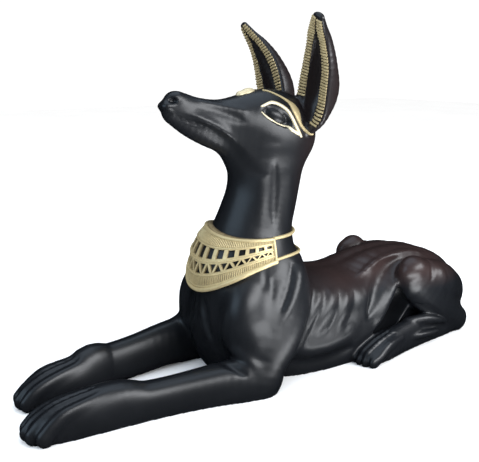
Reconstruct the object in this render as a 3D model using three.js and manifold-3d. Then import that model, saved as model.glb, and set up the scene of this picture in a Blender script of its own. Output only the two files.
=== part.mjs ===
// Recumbent jackal, life size, cast as one piece and painted.
// Millimetres, +Z up. The animal looks along -Y and its left side is +X.
// The origin is the middle of the flat underside's box.

import * as THREE from 'three';
import { MarchingCubes } from 'three/addons/objects/MarchingCubes.js';
import { mergeVertices } from 'three/addons/utils/BufferGeometryUtils.js';
import Module from 'manifold-3d';

const wasm = await Module();
wasm.setup();

// Driving dimensions

const CHEST_HALF_WIDTH = 112;
const BACK_HEIGHT = 196;
const NECK_HALF_WIDTH = 64;
const MUZZLE_TOP = 544;
const EAR_ROOT_HEIGHT = 484;
const EAR_LENGTH = 204;
const EAR_HALF_WIDTH = 45;
const EAR_DEPTH = 42;
const EAR_RIM = 3;
const EAR_BAND = 25;
const EAR_HOLLOW = 26;
const KNEE_HEIGHT = 168;
const PAW_HALF_WIDTH = 33;
const TOE_SPACING = 15;
const HIND_TOE_SPACING = 14;
const COLLAR_RELIEF = 7;
const COLLAR_SWELL = 11;
const TRIM_RELIEF = 5;

// Fineness of the surface
const CELL = 4;
const TRIANGLES = 8300;
const SPLINE_STEPS = 4;
// Above this height, on the head, the surface is kept finer
const HEAD_FLOOR = 425;
const HEAD_CARE = 4;

// Room for the clay, with a margin under the floor
const ROOM_LOW = [-175, -565, -20];
const ROOM_HIGH = [175, 560, 710];

const SIDES = [1, -1];


// Clay: a block of distances to the surface, negative inside, that forms are joined to and carved from

function blendedMinimum(a, b, blend) {
    const overlap = blend - Math.abs(a - b);
    const least = a < b ? a : b;
    return overlap > 0 ? least - overlap * overlap / (4 * blend) : least;
}

class Clay {
    constructor(low, high, cell) {
        this.low = low;
        this.cell = cell;
        this.count = low.map((value, axis) => Math.ceil((high[axis] - value) / cell) + 1);
        this.distances = new Float32Array(this.count[0] * this.count[1] * this.count[2]).fill(200);
    }

    // Runs change(distance, x, y, z) on every sample in the box of a form, grown by margin
    reshape(form, margin, change) {
        const first = [];
        const last = [];
        for (let axis = 0; axis < 3; axis += 1) {
            const from = (form.low[axis] - margin - this.low[axis]) / this.cell;
            const to = (form.high[axis] + margin - this.low[axis]) / this.cell;
            first.push(Math.max(0, Math.ceil(from)));
            last.push(Math.min(this.count[axis] - 1, Math.floor(to)));
        }
        for (let k = first[2]; k <= last[2]; k += 1) {
            const z = this.low[2] + k * this.cell;
            for (let j = first[1]; j <= last[1]; j += 1) {
                const y = this.low[1] + j * this.cell;
                const row = (k * this.count[1] + j) * this.count[0];
                for (let i = first[0]; i <= last[0]; i += 1) {
                    const x = this.low[0] + i * this.cell;
                    this.distances[row + i] = change(this.distances[row + i], x, y, z);
                }
            }
        }
    }

    // The distance at any place, taken between the samples round it
    at(x, y, z) {
        const place = [x, y, z].map((value, axis) => (value - this.low[axis]) / this.cell);
        const floor = place.map(Math.floor);
        let sum = 0;
        for (let corner = 0; corner < 8; corner += 1) {
            const step = [corner & 1, (corner >> 1) & 1, corner >> 2];
            const [sx, sy, sz] = step.map((s, axis) => 1 - Math.abs(place[axis] - floor[axis] - s));
            const [i, j, k] = floor.map((value, axis) => value + step[axis]);
            sum += sx * sy * sz * this.distances[(k * this.count[1] + j) * this.count[0] + i];
        }
        return sum;
    }

    join(form, blend = 0) {
        const margin = blend + 3 * this.cell;
        this.reshape(form, margin, (d, x, y, z) => blendedMinimum(d, form.distance(x, y, z), blend));
    }

    carve(form, blend = 0) {
        const margin = blend + 3 * this.cell;
        this.reshape(form, margin, (d, x, y, z) => -blendedMinimum(-d, form.distance(x, y, z), blend));
    }

    // Presses the surface in by depth along a form, fading over width; a negative depth raises it
    press(form, depth, width) {
        this.reshape(form, 2.5 * width, (d, x, y, z) => {
            const away = Math.max(form.distance(x, y, z), 0) / width;
            return d + depth * Math.exp(-away * away);
        });
    }

    // Lays skins over the surface, each of a thickness(x, y, z), where its form's distance is negative
    dress(...skins) {
        this.reshape(skins[0].form, 3 * this.cell, (d, x, y, z) => {
            const layers = skins.map(({ form, thickness }) => Math.max(
                d - thickness(x, y, z),
                form.distance(x, y, z),
            ));
            return Math.min(d, ...layers);
        });
    }
}


// Forms: a box, low to high, and a signed distance

function boxAround(points, reach) {
    const low = [0, 1, 2].map((axis) => Math.min(...points.map((p) => p[axis])) - reach);
    const high = [0, 1, 2].map((axis) => Math.max(...points.map((p) => p[axis])) + reach);
    return { low, high };
}

// Rows of a smooth spline through stations, any number of columns
function smoothRows(stations, steps = SPLINE_STEPS) {
    const last = stations.length - 1;
    const before = stations[0].map((value, c) => 2 * value - stations[1][c]);
    const after = stations[last].map((value, c) => 2 * value - stations[last - 1][c]);
    const rows = [before, ...stations, after];
    const smooth = [];
    for (let i = 1; i <= last; i += 1) {
        for (let s = 0; s < steps; s += 1) {
            const t = s / steps;
            smooth.push(rows[i].map((b, column) => {
                const a = rows[i - 1][column];
                const c = rows[i + 1][column];
                const d = rows[i + 2][column];
                const bend = 2 * a - 5 * b + 4 * c - d;
                const twist = 3 * b - a - 3 * c + d;
                return 0.5 * (2 * b + (c - a) * t + bend * t * t + twist * t * t * t);
            }));
        }
    }
    smooth.push(stations[last]);
    return smooth;
}

// A limb or trunk through stations [x, y, z, half width, above, below], listed from front to back or
// from the ground up. Half width is across, in X. Above is up, or forward on an upright stretch.
// A station with no below is as deep below as above, and one with no above either is round.
// Fullness 2 makes its sections ellipses, and more makes them boxier.
function limb(stations, fullness = 2) {
    const rows = smoothRows(stations.map(([x, y, z, wide, above = wide, below = above]) => (
        [x, y, z, wide, above, below]
    )));
    const reach = Math.max(...rows.flatMap((row) => row.slice(3)));
    const stretches = rows.slice(1).map((row, i) => {
        const from = rows[i];
        const run = new THREE.Vector3(row[0] - from[0], row[1] - from[1], row[2] - from[2]);
        const along = run.clone().normalize();
        const across = new THREE.Vector3(1, 0, 0).addScaledVector(along, -along.x).normalize();
        const up = new THREE.Vector3().crossVectors(across, along);
        return { from, to: row, run, across, up, length2: run.lengthSq() };
    });
    const distance = (x, y, z) => {
        let nearest = Infinity;
        for (const { from, to, run, across, up, length2 } of stretches) {
            const px = x - from[0];
            const py = y - from[1];
            const pz = z - from[2];
            const t = Math.min(1, Math.max(0, (px * run.x + py * run.y + pz * run.z) / length2));
            const ox = px - t * run.x;
            const oy = py - t * run.y;
            const oz = pz - t * run.z;
            const off = Math.sqrt(ox * ox + oy * oy + oz * oz);
            if (off - reach > nearest) {
                continue;
            }
            const aside = Math.abs(ox * across.x + oy * across.y + oz * across.z);
            const rest = Math.sqrt(Math.max(off * off - aside * aside, 1e-9));
            const lean = 0.5 + 0.5 * (ox * up.x + oy * up.y + oz * up.z) / rest;
            const wide = from[3] + t * (to[3] - from[3]);
            const above = from[4] + t * (to[4] - from[4]);
            const below = from[5] + t * (to[5] - from[5]);
            const high = below + lean * (above - below);
            const a = aside / wide;
            const b = rest / high;
            const share = fullness === 2
                ? Math.sqrt(a * a + b * b)
                : (a ** fullness + b ** fullness) ** (1 / fullness);
            const gap = share > 1e-3 ? off - off / share : -Math.min(wide, high);
            nearest = gap < nearest ? gap : nearest;
        }
        return nearest;
    };
    return { ...boxAround(rows, reach), distance };
}

function line(points, radius = 1) {
    return limb(points.map((point) => [...point, radius]));
}

// An ellipsoid with its half axes turned by degrees about X, Y and Z
function lump(centre, halves, turn = [0, 0, 0]) {
    const angles = turn.map(THREE.MathUtils.degToRad);
    const placing = new THREE.Matrix4().makeRotationFromEuler(new THREE.Euler(...angles, 'ZYX'));
    const m = placing.elements;
    const reach = Math.max(...halves);
    const distance = (x, y, z) => {
        const px = x - centre[0];
        const py = y - centre[1];
        const pz = z - centre[2];
        let near = 0;
        let slope = 0;
        for (let axis = 0; axis < 3; axis += 1) {
            const along = px * m[4 * axis] + py * m[4 * axis + 1] + pz * m[4 * axis + 2];
            near += (along / halves[axis]) ** 2;
            slope += (along / halves[axis] ** 2) ** 2;
        }
        const share = Math.sqrt(near);
        return share * (share - 1) / (Math.sqrt(slope) + 1e-9);
    };
    return { ...boxAround([centre], reach), distance };
}

// A stroke along a path, for pressing; it gets weaker toward its ends
const STROKE_FADE = 14;

function stroke(points) {
    const rows = smoothRows(points);
    const last = rows.length - 1;
    const distance = (x, y, z) => {
        let nearest = Infinity;
        for (let i = 0; i < last; i += 1) {
            const [px, py, pz] = rows[i];
            const [dx, dy, dz] = rows[i + 1].map((value, axis) => value - rows[i][axis]);
            const along = (x - px) * dx + (y - py) * dy + (z - pz) * dz;
            const t = Math.min(1, Math.max(0, along / (dx * dx + dy * dy + dz * dz)));
            const off = Math.hypot(x - px - t * dx, y - py - t * dy, z - pz - t * dz);
            const ends = (2 * (i + t) / last - 1) ** 4;
            nearest = Math.min(nearest, off + STROKE_FADE * ends);
        }
        return nearest;
    };
    return { ...boxAround(rows, 1), distance };
}

// The same form on the other side of the plane of symmetry
function onSide(side, form) {
    if (side > 0) {
        return form;
    }
    return {
        low: [-form.high[0], form.low[1], form.low[2]],
        high: [-form.low[0], form.high[1], form.high[2]],
        distance: (x, y, z) => form.distance(-x, y, z),
    };
}

function pressAll(clay, side, strokes) {
    strokes.forEach(([path, depth, width]) => clay.press(onSide(side, stroke(path)), depth, width));
}


// Trunk: chest, ribs, loins and rump, lying on the ground

function addTrunk(clay) {
    const rise = BACK_HEIGHT - 100;
    clay.join(limb([
        [0, -60, 105, 92, rise, 102],
        [0, 0, 100, 104, rise, 125],
        [0, 90, 96, CHEST_HALF_WIDTH + 3, rise - 7, 200],
        [0, 180, 94, 108, rise - 10, 160],
        [0, 270, 98, 88, rise + 8, 110],
        [0, 350, 94, 82, rise + 10, 105],
        [0, 418, 79, 73, rise, 95],
        [0, 460, 64, 52, 70, 80],
    ], 2.6));
    clay.join(limb([
        [0, -36, -10, 56, 30, 60],
        [0, -72, 50, 88, 76, 70],
        [0, -74, 90, 94, 84, 80],
        [0, -70, 150, 98, 94, 90],
        [0, -56, 205, 90, 92, 90],
    ], 2.2), 24);
    for (const side of SIDES) {
        clay.join(onSide(side, lump([72, -98, 130], [46, 62, 84], [0, 0, 24])), 20);
    }
}

// Neck, held upright

function addNeck(clay) {
    clay.join(limb([
        [0, -56, 195, 92, 100, 92],
        [0, -42, 245, 80, 94, 80],
        [0, -32, 295, 70, 81, 70],
        [0, -18, 345, NECK_HALF_WIDTH, 76, 69],
        [0, -8, 392, 60, 83, 71],
        [0, 10, 440, 56, 116, 65],
    ]), 34);
}

// Head, with a long level muzzle

function addHead(clay) {
    clay.join(limb([
        [0, -200, MUZZLE_TOP - 20, 17, 25, 36],
        [0, -165, MUZZLE_TOP - 37, 23, 31, 43],
        [0, -120, MUZZLE_TOP - 50, 30, 39, 52],
        [0, -70, MUZZLE_TOP - 56, 42, 50, 63],
        [0, -20, MUZZLE_TOP - 60, 52, 57, 74],
        [0, 22, 480, 56, 54, 60],
        [0, 44, 466, 50, 44, 50],
    ], 2.2), 18);
    for (const side of SIDES) {
        clay.join(onSide(side, lump([36, -5, 446], [22, 44, 30], [-20, 0, 0])), 16);
    }
}

// Ears: tall leaves, facing forward; the right one bows outward more and is thinner

// An ear's height shares with its [out, back, half width, depth behind] there; shares of width and depth
const LEFT_EAR = [
    [0, 50, 45, 0.64, 0.4],
    [0.13, 61, 48, 0.95, 0.72],
    [0.32, 68, 49, 1, 1.14],
    [0.53, 77, 48, 0.9, 0.86],
    [0.72, 87, 41, 0.65, 0.62],
    [0.83, 98, 31, 0.46, 0.42],
    [0.94, 113, 20, 0.28, 0.2],
];
const RIGHT_EAR = [
    [0, 50, 46, 0.68, 0.6],
    [0.13, 61, 48, 0.95, 1.05],
    [0.32, 68, 47, 1, 1.12],
    [0.53, 80, 43, 0.9, 0.72],
    [0.7, 94, 34, 0.65, 0.42],
    [0.81, 105, 24, 0.46, 0.2],
    [0.915, 115, 14, 0.24, 0.12],
];

// Stations of an ear, or of what is carved from it: a limb of a given width, front and back
function earStations(side, width, front, back, shift) {
    return (side > 0 ? LEFT_EAR : RIGHT_EAR).map(([share, x, y, wide, deep]) => (
        [x, y - shift, EAR_ROOT_HEIGHT + share * EAR_LENGTH, wide * width, front, deep * back]
    ));
}

// The face of an ear is flat, round a narrow hollow
function addEar(clay, side) {
    const ear = earStations(side, EAR_HALF_WIDTH, 6, EAR_DEPTH, 0);
    const face = earStations(side, EAR_HALF_WIDTH - EAR_RIM, 14, 6, 8);
    const hollow = earStations(side, EAR_HALF_WIDTH - EAR_BAND, 12, EAR_HOLLOW, 6);
    clay.join(onSide(side, limb(ear)), 5);
    clay.carve(onSide(side, limb(face)), 2);
    clay.carve(onSide(side, limb(hollow)), 1);
}

// Forelegs, stretched forward on the ground, with long toes; the right one reaches a little less far

function addForeleg(clay, side) {
    const back = side > 0 ? 0 : 24;
    const rise = side > 0 ? -4 : 10;
    const under = side > 0 ? 40 : 25;
    clay.join(onSide(side, limb([
        [114, -104, -6, 29, 34, 22],
        [113, -90, 40, 37, 44, 29],
        [105, -60, 90, 40, 56, 52],
        [92, -32, 140, 38, 56, 58],
        [76, -8, 190, 34, 42, 44],
        [58, 8, 220, 24, 22, 24],
    ])), 22);
    clay.join(onSide(side, limb([
        [64, -492 + back, 14, 28, 30, 24],
        [66, -460 + back, 17, PAW_HALF_WIDTH, 45, under],
        [70, -410 + back, 19, PAW_HALF_WIDTH, 52, under],
        [75, -365 + 0.5 * back, 21, 31, 55 + 0.8 * rise, under],
        [81, -320, 22, 28, 44 + rise, under],
        [88, -260, 23, 28, 44 + 1.2 * rise, under],
        [98, -190, 25, 32, 48 + 1.4 * rise, under],
        [108, -130, 24, 37, 52 + 1.2 * rise, under + 6],
        [112, -103, 22, 34, 54, 40],
    ], 2.4)), 12);
    for (const [toe, short] of [[-1.5, 5], [-0.5, 0], [0.5, 3], [1.5, 16]]) {
        const across = toe * TOE_SPACING;
        const tip = back + short;
        clay.join(onSide(side, limb([
            [66 + 1.15 * across, -516 + tip, 15, 9.5, 15, 16],
            [66 + 1.1 * across, -498 + tip, 31, 9.5, 15, 14],
            [67 + across, -460 + back, 44, 9, 14, 14],
            [70 + 0.8 * across, -415 + back, 52, 7, 13, 12],
            [73 + 0.6 * across, -385 + back, 60, 5, 8, 8],
        ])), 4);
    }
    for (const gap of [-1, 0, 1]) {
        const across = gap * TOE_SPACING;
        clay.press(onSide(side, stroke([
            [66 + 1.15 * across, -530 + back, 22],
            [66 + 1.1 * across, -502 + back, 46],
            [67 + across, -462 + back, 60],
            [70 + 0.8 * across, -418 + back, 68],
            [73 + 0.6 * across, -388 + back, 72],
        ])), 5, 4);
    }
}

// Hind legs, folded, with the foot flat on the ground

function addHindLeg(clay, side) {
    clay.join(onSide(side, limb([
        [98, 300, KNEE_HEIGHT - 2, 27, 30, 34],
        [97, 340, 142, 36, 44, 50],
        [84, 392, 112, 44, 58, 62],
        [64, 443, 81, 43, 59, 58],
    ])), 16);
    clay.join(onSide(side, limb([
        [104, 306, 130, 22, 28, 28],
        [104, 360, 92, 26, 36, 36],
        [98, 412, 56, 27, 38, 38],
        [92, 460, 24, 23, 32, 28],
    ])), 12);
    const knee = side > 0 ? [100, 306, KNEE_HEIGHT + 1] : [100, 313, KNEE_HEIGHT + 5];
    clay.join(onSide(side, lump(knee, [28, 29, 29])), 5);
    clay.join(onSide(side, limb([
        [130, 160, 12, 22, 24, 15],
        [126, 200, 15, 25, 38, 18],
        [116, 260, 15, 20, 46, 18],
        [103, 340, 15, 20, 48, 18],
        [94, 412, 17, 21, 42, 20],
        [88, 446, 22, 21, 34, 24],
    ], 2.4)), 8);
    for (const toe of [-1.5, -0.5, 0.5, 1.5]) {
        const across = toe * HIND_TOE_SPACING;
        const drop = 2.2 * (toe + 1.5);
        const back = 3 * toe + 4 * Math.abs(toe);
        clay.join(onSide(side, limb([
            [131 + across, 142 + back, 9, 8, 12, 12],
            [130 + across, 160 + back, 24 - drop, 8, 11, 11],
            [127 + 0.9 * across, 200, 40 - drop, 7.5, 11, 11],
            [121 + 0.7 * across, 245, 44 - drop, 5, 8, 8],
        ])), 3);
    }
    for (const gap of [-1, 0, 1]) {
        const across = gap * HIND_TOE_SPACING;
        const drop = 2.2 * (gap + 1.5);
        clay.press(onSide(side, stroke([
            [131 + across, 128 + 3 * gap, 14],
            [130 + across, 148 + 3 * gap, 34 - drop],
            [127 + 0.9 * across, 196, 53 - drop],
            [122 + 0.7 * across, 234, 58 - drop],
        ])), 7, 4);
    }
}

// Carving of the body; each stroke is a path, how deep it presses in, less than 0 for out, and how wide

const BREAST_STROKES = [
    [[[16, -163, 174], [30, -162, 122], [44, -154, 84]], 4, 8],
    [[[4, -164, 176], [16, -164, 123], [32, -157, 83], [48, -149, 54]], -3, 6],
    [[[82, -152, 166], [81, -156, 122], [72, -152, 87]], -3, 7],
];

// Muscles of the shoulder, its rear edge, and the crease and bulge above the elbow
const SHOULDER_STROKES = [
    [[[90, -80, 240], [95, -80, 213], [108, -88, 185], [120, -104, 150]], -3, 12],
    [[[92, -60, 236], [98, -62, 203], [112, -74, 170]], 1.5, 7],
    [[[88, 0, 234], [106, -16, 203], [117, -34, 176], [125, -54, 148]], 3, 9],
    [
        [
            [86, 26, 226], [98, 10, 212], [108, 1, 198],
            [119, -15, 174], [128, -36, 150], [133, -58, 126],
        ], -5, 9,
    ],
    [[[84, 14, 232], [97, 42, 178], [106, 30, 150], [119, 6, 108], [130, -30, 62], [141, -68, 34]], 9, 8],
    [[[70, -174, 62], [96, -173, 68], [112, -168, 67], [129, -154, 58], [138, -136, 45]], 5, 6],
    [[[84, -150, 86], [108, -150, 86], [128, -136, 74], [138, -116, 56]], -5, 12],
];

// Between the ribs, the ribs, the belly, and the tuck under it
const RIB_STROKES = [
    [[[90, 70, 166], [104, 59, 143], [110, 41, 119], [113, 20, 94]], 2.2, 8],
    [[[92, 104, 162], [109, 93, 131], [113, 79, 108], [116, 62, 83]], 2.2, 8],
    [[[98, 140, 152], [110, 130, 121], [113, 116, 95], [118, 98, 76]], 2, 8],
    [[[84, 58, 172], [102, 40, 149], [111, 17, 121], [118, -4, 96]], -2, 9],
    [[[90, 86, 166], [108, 73, 138], [114, 54, 110], [115, 36, 84]], -2, 9],
    [[[96, 122, 158], [112, 108, 127], [116, 94, 102], [117, 80, 80]], -2.5, 10],
    [[[100, -24, 60], [112, 21, 56], [114, 60, 55], [113, 95, 62], [108, 130, 72]], -11, 20],
    [[[104, -20, 28], [112, 30, 26], [112, 80, 30], [106, 140, 36]], 6, 14],
];

// The waist and the fold of skin behind it
const FLANK_STROKES = [
    [
        [
            [62, 284, 184], [70, 252, 176], [79, 224, 164],
            [95, 186, 141], [105, 166, 108], [111, 144, 80],
        ], 9, 11,
    ],
    [[[80, 272, 162], [96, 244, 132], [104, 218, 106], [108, 194, 80], [108, 178, 58]], -5, 12],
];

// The hip's ridge runs further forward on the left
const HIP_BACK = [[57, 278, 194], [54, 319, 197], [54, 356, 193], [56, 400, 180]];
const HIP_FRONT = [[74, 168, 168], [70, 194, 178], [61, 239, 190]];

// Behind the knee, the haunch, the thigh's lower edge, and a groove along the foot
const HAUNCH_STROKES = [
    [[[100, 340, 192], [114, 342, 182], [128, 334, 164], [134, 328, 142]], 4, 8],
    [[[120, 366, 168], [128, 366, 150], [130, 366, 128]], -5, 14],
    [[[108, 298, 100], [120, 318, 88], [126, 345, 75], [126, 368, 58], [122, 388, 44]], 9, 6],
    [[[124, 300, 46], [126, 338, 40], [124, 375, 36]], 5, 4],
];

// The hollow of the flank, behind the fold of skin and under the thigh
function carveFlank(clay, side) {
    clay.carve(onSide(side, lump([100, 268, 86], [62, 38, 72], [-49, 0, 0])), 3);
    for (const x of [94, 72]) {
        const edge = [[x - 6, 290, 120], [x - 2, 258, 97], [x + 2, 231, 77], [x + 4, 208, 56]];
        clay.carve(onSide(side, line(edge, 21)), 3);
    }
}

// Tendons along the hind foot
function addTendons(clay, side) {
    const upper = [[108, 286, 58, 8], [118, 330, 58, 11], [122, 366, 50, 9], [120, 392, 40, 5]];
    const lower = [[124, 268, 30, 7], [126, 320, 27, 9], [123, 362, 24, 7]];
    clay.join(onSide(side, limb(upper)), 5);
    clay.join(onSide(side, limb(lower)), 4);
}

function carveBody(clay) {
    clay.press(line([[0, 90, 196], [0, 180, 194], [0, 270, 206], [0, 360, 202], [0, 450, 165]]), 4, 12);
    for (const side of SIDES) {
        clay.join(onSide(side, lump([90, -112, 98], [42, 36, 46])), 16);
        pressAll(clay, side, BREAST_STROKES);
        pressAll(clay, side, SHOULDER_STROKES);
        pressAll(clay, side, RIB_STROKES);
        pressAll(clay, side, FLANK_STROKES);
        pressAll(clay, side, HAUNCH_STROKES);
        pressAll(clay, side, [[side > 0 ? [...HIP_FRONT, ...HIP_BACK] : HIP_BACK, -7, 11]]);
        addTendons(clay, side);
    }
}

// Neck muscles, running up to the jaw

const NECK_STROKES = [
    [[[57, -30, 425], [57, -30, 376], [61, -35, 339], [72, -40, 293]], 3, 8],
    [[[50, -58, 398], [54, -58, 350], [62, -66, 290]], -1, 14],
];

function carveNeck(clay) {
    SIDES.forEach((side) => pressAll(clay, side, NECK_STROKES));
}

// Face: cheekbones, mouth, nostrils and eyes

// Mouth, ridge from the muzzle to the cheek, hollow under it, groove above it, ridge to the eye, and
// the hollow under the eye
const FACE_STROKES = [
    [[[9, -228, 517], [12, -211, 507], [17, -186, 497], [23, -153, 488], [29, -130, 480]], 3, 4],
    [
        [
            [18, -199, 512], [23, -179, 507], [28, -162, 499], [33, -142, 489], [38, -124, 476],
            [45, -107, 458], [51, -90, 442], [56, -74, 430], [61, -54, 425], [64, -34, 427],
        ], -5, 10,
    ],
    [
        [
            [26, -160, 480], [32, -132, 464], [35, -109, 442],
            [38, -90, 420], [46, -66, 400], [54, -40, 396],
        ], 5, 10,
    ],
    [[[20, -190, 526], [27, -140, 515], [35, -106, 503], [44, -80, 492]], 3, 7],
    [[[14, -180, 536], [18, -145, 528], [25, -114, 520], [34, -90, 514], [42, -72, 512]], -3, 7],
    [[[40, -100, 482], [50, -74, 468], [57, -48, 458], [62, -20, 454]], 3, 11],
];

const EYE_CORNERS = [[43, -60, 515], [60, 16, 474]];
const EYE_TAIL = [59, 42, 456];

function lidPath(bulge) {
    const [front, back] = EYE_CORNERS;
    const middle = front.map((value, axis) => (value + back[axis]) / 2);
    return [front, [middle[0] + 2, middle[1] + 0.35 * bulge, middle[2] + bulge], back];
}

function carveFace(clay) {
    for (const side of SIDES) {
        pressAll(clay, side, FACE_STROKES);
        clay.join(onSide(side, lump([6, -207, 536], [10, 14, 12])), 6);
        clay.join(onSide(side, lump([6, -224, 524], [11, 12, 9])), 5);
        clay.carve(onSide(side, lump([13, -217, 534], [6, 8, 5])), 2);
        clay.carve(onSide(side, lump([54, -24, 502], [10, 34, 12], [-30, 0, -13])), 3);
        clay.join(onSide(side, lump([42, -22, 502], [13, 24, 14], [-30, 0, -13])), 1);
        for (const bulge of [18, -9]) {
            clay.join(onSide(side, line(lidPath(bulge), 3.5)), 2);
        }
        clay.join(onSide(side, line([EYE_CORNERS[1], EYE_TAIL], 3.5)), 2);
    }
}

// Circlet over the brow and behind the ears, with a small reared cobra's hood in front

const CIRCLET = [
    [0, -44, 543], [8, -22, 542], [26, -4, 536], [42, 14, 521], [54, 27, 500], [61, 38, 478], [56, 62, 460],
];

function addCirclet(clay) {
    clay.join(lump([0, -52, 544], [10, 19, 11]), 3);
    for (const side of SIDES) {
        clay.join(onSide(side, line(CIRCLET, TRIM_RELIEF)), 2);
        clay.join(onSide(side, lump([51, 24, 505], [6, 9, 16], [-30, 0, 0])), 2);
    }
}

// Collar: a broad plate on the breast, held by two cords round the neck

const COLLAR_AXIS = -30;
const PLATE_END = 77;

function angleRoundNeck(x, y) {
    return THREE.MathUtils.radToDeg(Math.atan2(x, COLLAR_AXIS - y));
}

function collarTop(angle) {
    return 281 + 16 * Math.exp(-(((angle + 22) / 42) ** 2));
}

function collarFoot(angle) {
    return 242 - 62 * Math.exp(-((angle / 44.5) ** 2));
}

function collarForm(margin, inPlate) {
    return {
        low: [-115, -190, 165],
        high: [115, 90, 305],
        distance: (x, y, z) => {
            const angle = angleRoundNeck(x, y);
            const top = collarTop(angle) - margin - z;
            const foot = z - collarFoot(angle) - margin;
            const end = (PLATE_END - Math.abs(angle)) * 1.5;
            return inPlate ? -Math.min(top, foot, end) : Math.min(Math.abs(top), Math.abs(foot)) - 4;
        },
    };
}

// The plate stands away from the neck, most on the breast and a third of the way down
function collarThickness(x, y, z) {
    const angle = angleRoundNeck(x, y);
    const share = (collarTop(angle) - z) / (collarTop(angle) - collarFoot(angle));
    const arch = share > 0 && share < 1 ? Math.sin(Math.PI * share ** 0.72) : 0;
    return COLLAR_RELIEF + COLLAR_SWELL * arch * Math.exp(-((angle / 50) ** 2));
}

// Cords bound the plate above and below, and lie close to the neck behind it
function cordThickness(x, y, z) {
    return Math.abs(angleRoundNeck(x, y)) < PLATE_END ? collarThickness(x, y, z) + 2 : TRIM_RELIEF;
}

function addCollar(clay) {
    clay.dress(
        { form: collarForm(0, true), thickness: collarThickness },
        { form: collarForm(3, false), thickness: cordThickness },
    );
}

// The plate's openwork: a row of upright cells over a row of triangles, cut to CELL_DEPTH

const CELL_DEPTH = 5;
const CELL_PITCH = 9.3;
const CELLS_EACH_SIDE = 8;

function plateSpot(clay, angle, height) {
    const turn = THREE.MathUtils.degToRad(angle);
    let radius = 40;
    while (clay.at(radius * Math.sin(turn), COLLAR_AXIS - radius * Math.cos(turn), height) < 0) {
        radius += 0.5;
    }
    return new THREE.Vector3(radius * Math.sin(turn), COLLAR_AXIS - radius * Math.cos(turn), height);
}

// A prism that stands square to the plate; its outline is pairs of degrees and share of the plate's height
function openworkCell(clay, angle, outline) {
    const top = collarTop(angle);
    const fall = collarFoot(angle) - top;
    const shares = outline.map(([, share]) => share);
    const high = plateSpot(clay, angle, top + fall * Math.min(...shares));
    const low = plateSpot(clay, angle, top + fall * Math.max(...shares));
    const up = high.clone().sub(low).normalize();
    const turn = THREE.MathUtils.degToRad(angle);
    const across = new THREE.Vector3(Math.cos(turn), Math.sin(turn), 0);
    const out = across.clone().cross(up).normalize();
    const width = Math.hypot(low.x, low.y - COLLAR_AXIS);
    const height = high.distanceTo(low) / (Math.max(...shares) - Math.min(...shares));
    const corners = outline.map(([offset, share]) => new THREE.Vector2(
        width * THREE.MathUtils.degToRad(offset),
        height * (Math.max(...shares) - share),
    ));
    const outlined = new THREE.Shape(corners);
    const prism = new THREE.ExtrudeGeometry(outlined, { depth: 4 * CELL_DEPTH, bevelEnabled: false });
    prism.translate(0, 0, -CELL_DEPTH);
    prism.applyMatrix4(new THREE.Matrix4().makeBasis(across, up, out).setPosition(low));
    return solidOf(prism);
}

function cutOpenwork(clay, solid) {
    const half = 0.33 * CELL_PITCH;
    let cut = solid;
    for (const side of SIDES) {
        for (let i = 0; i < CELLS_EACH_SIDE; i += 1) {
            const angle = side * CELL_PITCH * (i + 0.5);
            const narrowing = 0.05 * i / CELLS_EACH_SIDE;
            const cells = [[0.22 + narrowing, 0.42 - narrowing], [0.5, 0.68 - 1.5 * narrowing]];
            const [[top, foot], [apex, base]] = cells;
            const upright = [[-half, top], [-half, foot], [half, foot], [half, top]];
            cut = cut.subtract(openworkCell(clay, angle, upright));
            cut = cut.subtract(openworkCell(clay, angle, [[0, apex], [-half, base], [half, base]]));
            if (i > 0 || side > 0) {
                const between = side * CELL_PITCH * i;
                cut = cut.subtract(openworkCell(clay, between, [[half, apex], [-half, apex], [0, base]]));
            }
        }
    }
    return cut;
}

// Tail, curled along the right side

function addTail(clay) {
    clay.join(limb([
        [-135, 300, 8, 9, 10],
        [-136, 360, 11, 11, 12],
        [-128, 430, 14, 13, 14],
        [-100, 490, 24, 14, 16],
        [-50, 512, 48, 15, 18],
        [-10, 500, 80, 16, 20],
    ]), 10);
}

// The whole animal

function sculpt(cell) {
    const clay = new Clay(ROOM_LOW, ROOM_HIGH, cell);
    for (const side of SIDES) {
        addEar(clay, side);
    }
    addHead(clay);
    addNeck(clay);
    addTrunk(clay);
    for (const side of SIDES) {
        addForeleg(clay, side);
        carveFlank(clay, side);
        addHindLeg(clay, side);
    }
    carveBody(clay);
    carveNeck(clay);
    carveFace(clay);
    addTail(clay);
    addCollar(clay);
    addCirclet(clay);
    return clay;
}


// Surface of the clay as one closed mesh

function geometryOf(spots) {
    const soup = new THREE.BufferGeometry();
    soup.setAttribute('position', new THREE.Float32BufferAttribute(spots, 3));
    return mergeVertices(soup, 1e-3);
}

function surfaceOf(clay) {
    const rim = 2;
    const size = Math.max(...clay.count) + 2 * rim;
    const cubes = new MarchingCubes(size, new THREE.MeshBasicMaterial(), false, false, 300000);
    const shy = 0.06 * clay.cell;
    cubes.isolation = 0;
    cubes.field.fill(-clay.cell);
    for (let k = 0; k < clay.count[2]; k += 1) {
        for (let j = 0; j < clay.count[1]; j += 1) {
            for (let i = 0; i < clay.count[0]; i += 1) {
                const depth = -clay.distances[(k * clay.count[1] + j) * clay.count[0] + i];
                const away = Math.max(Math.abs(depth), shy);
                const at = i + rim + (j + rim) * size + (k + rim) * size * size;
                cubes.field[at] = depth < 0 ? -away : away;
            }
        }
    }
    cubes.update();
    const spots = cubes.positionArray.slice(0, 3 * cubes.count);
    const half = size / 2;
    for (let i = 0; i < spots.length; i += 1) {
        spots[i] = clay.low[i % 3] + clay.cell * (half * (spots[i] + 1) - rim);
    }
    return geometryOf(spots);
}


// Thinning: edges close up one by one, the one that moves the surface least first

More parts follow.
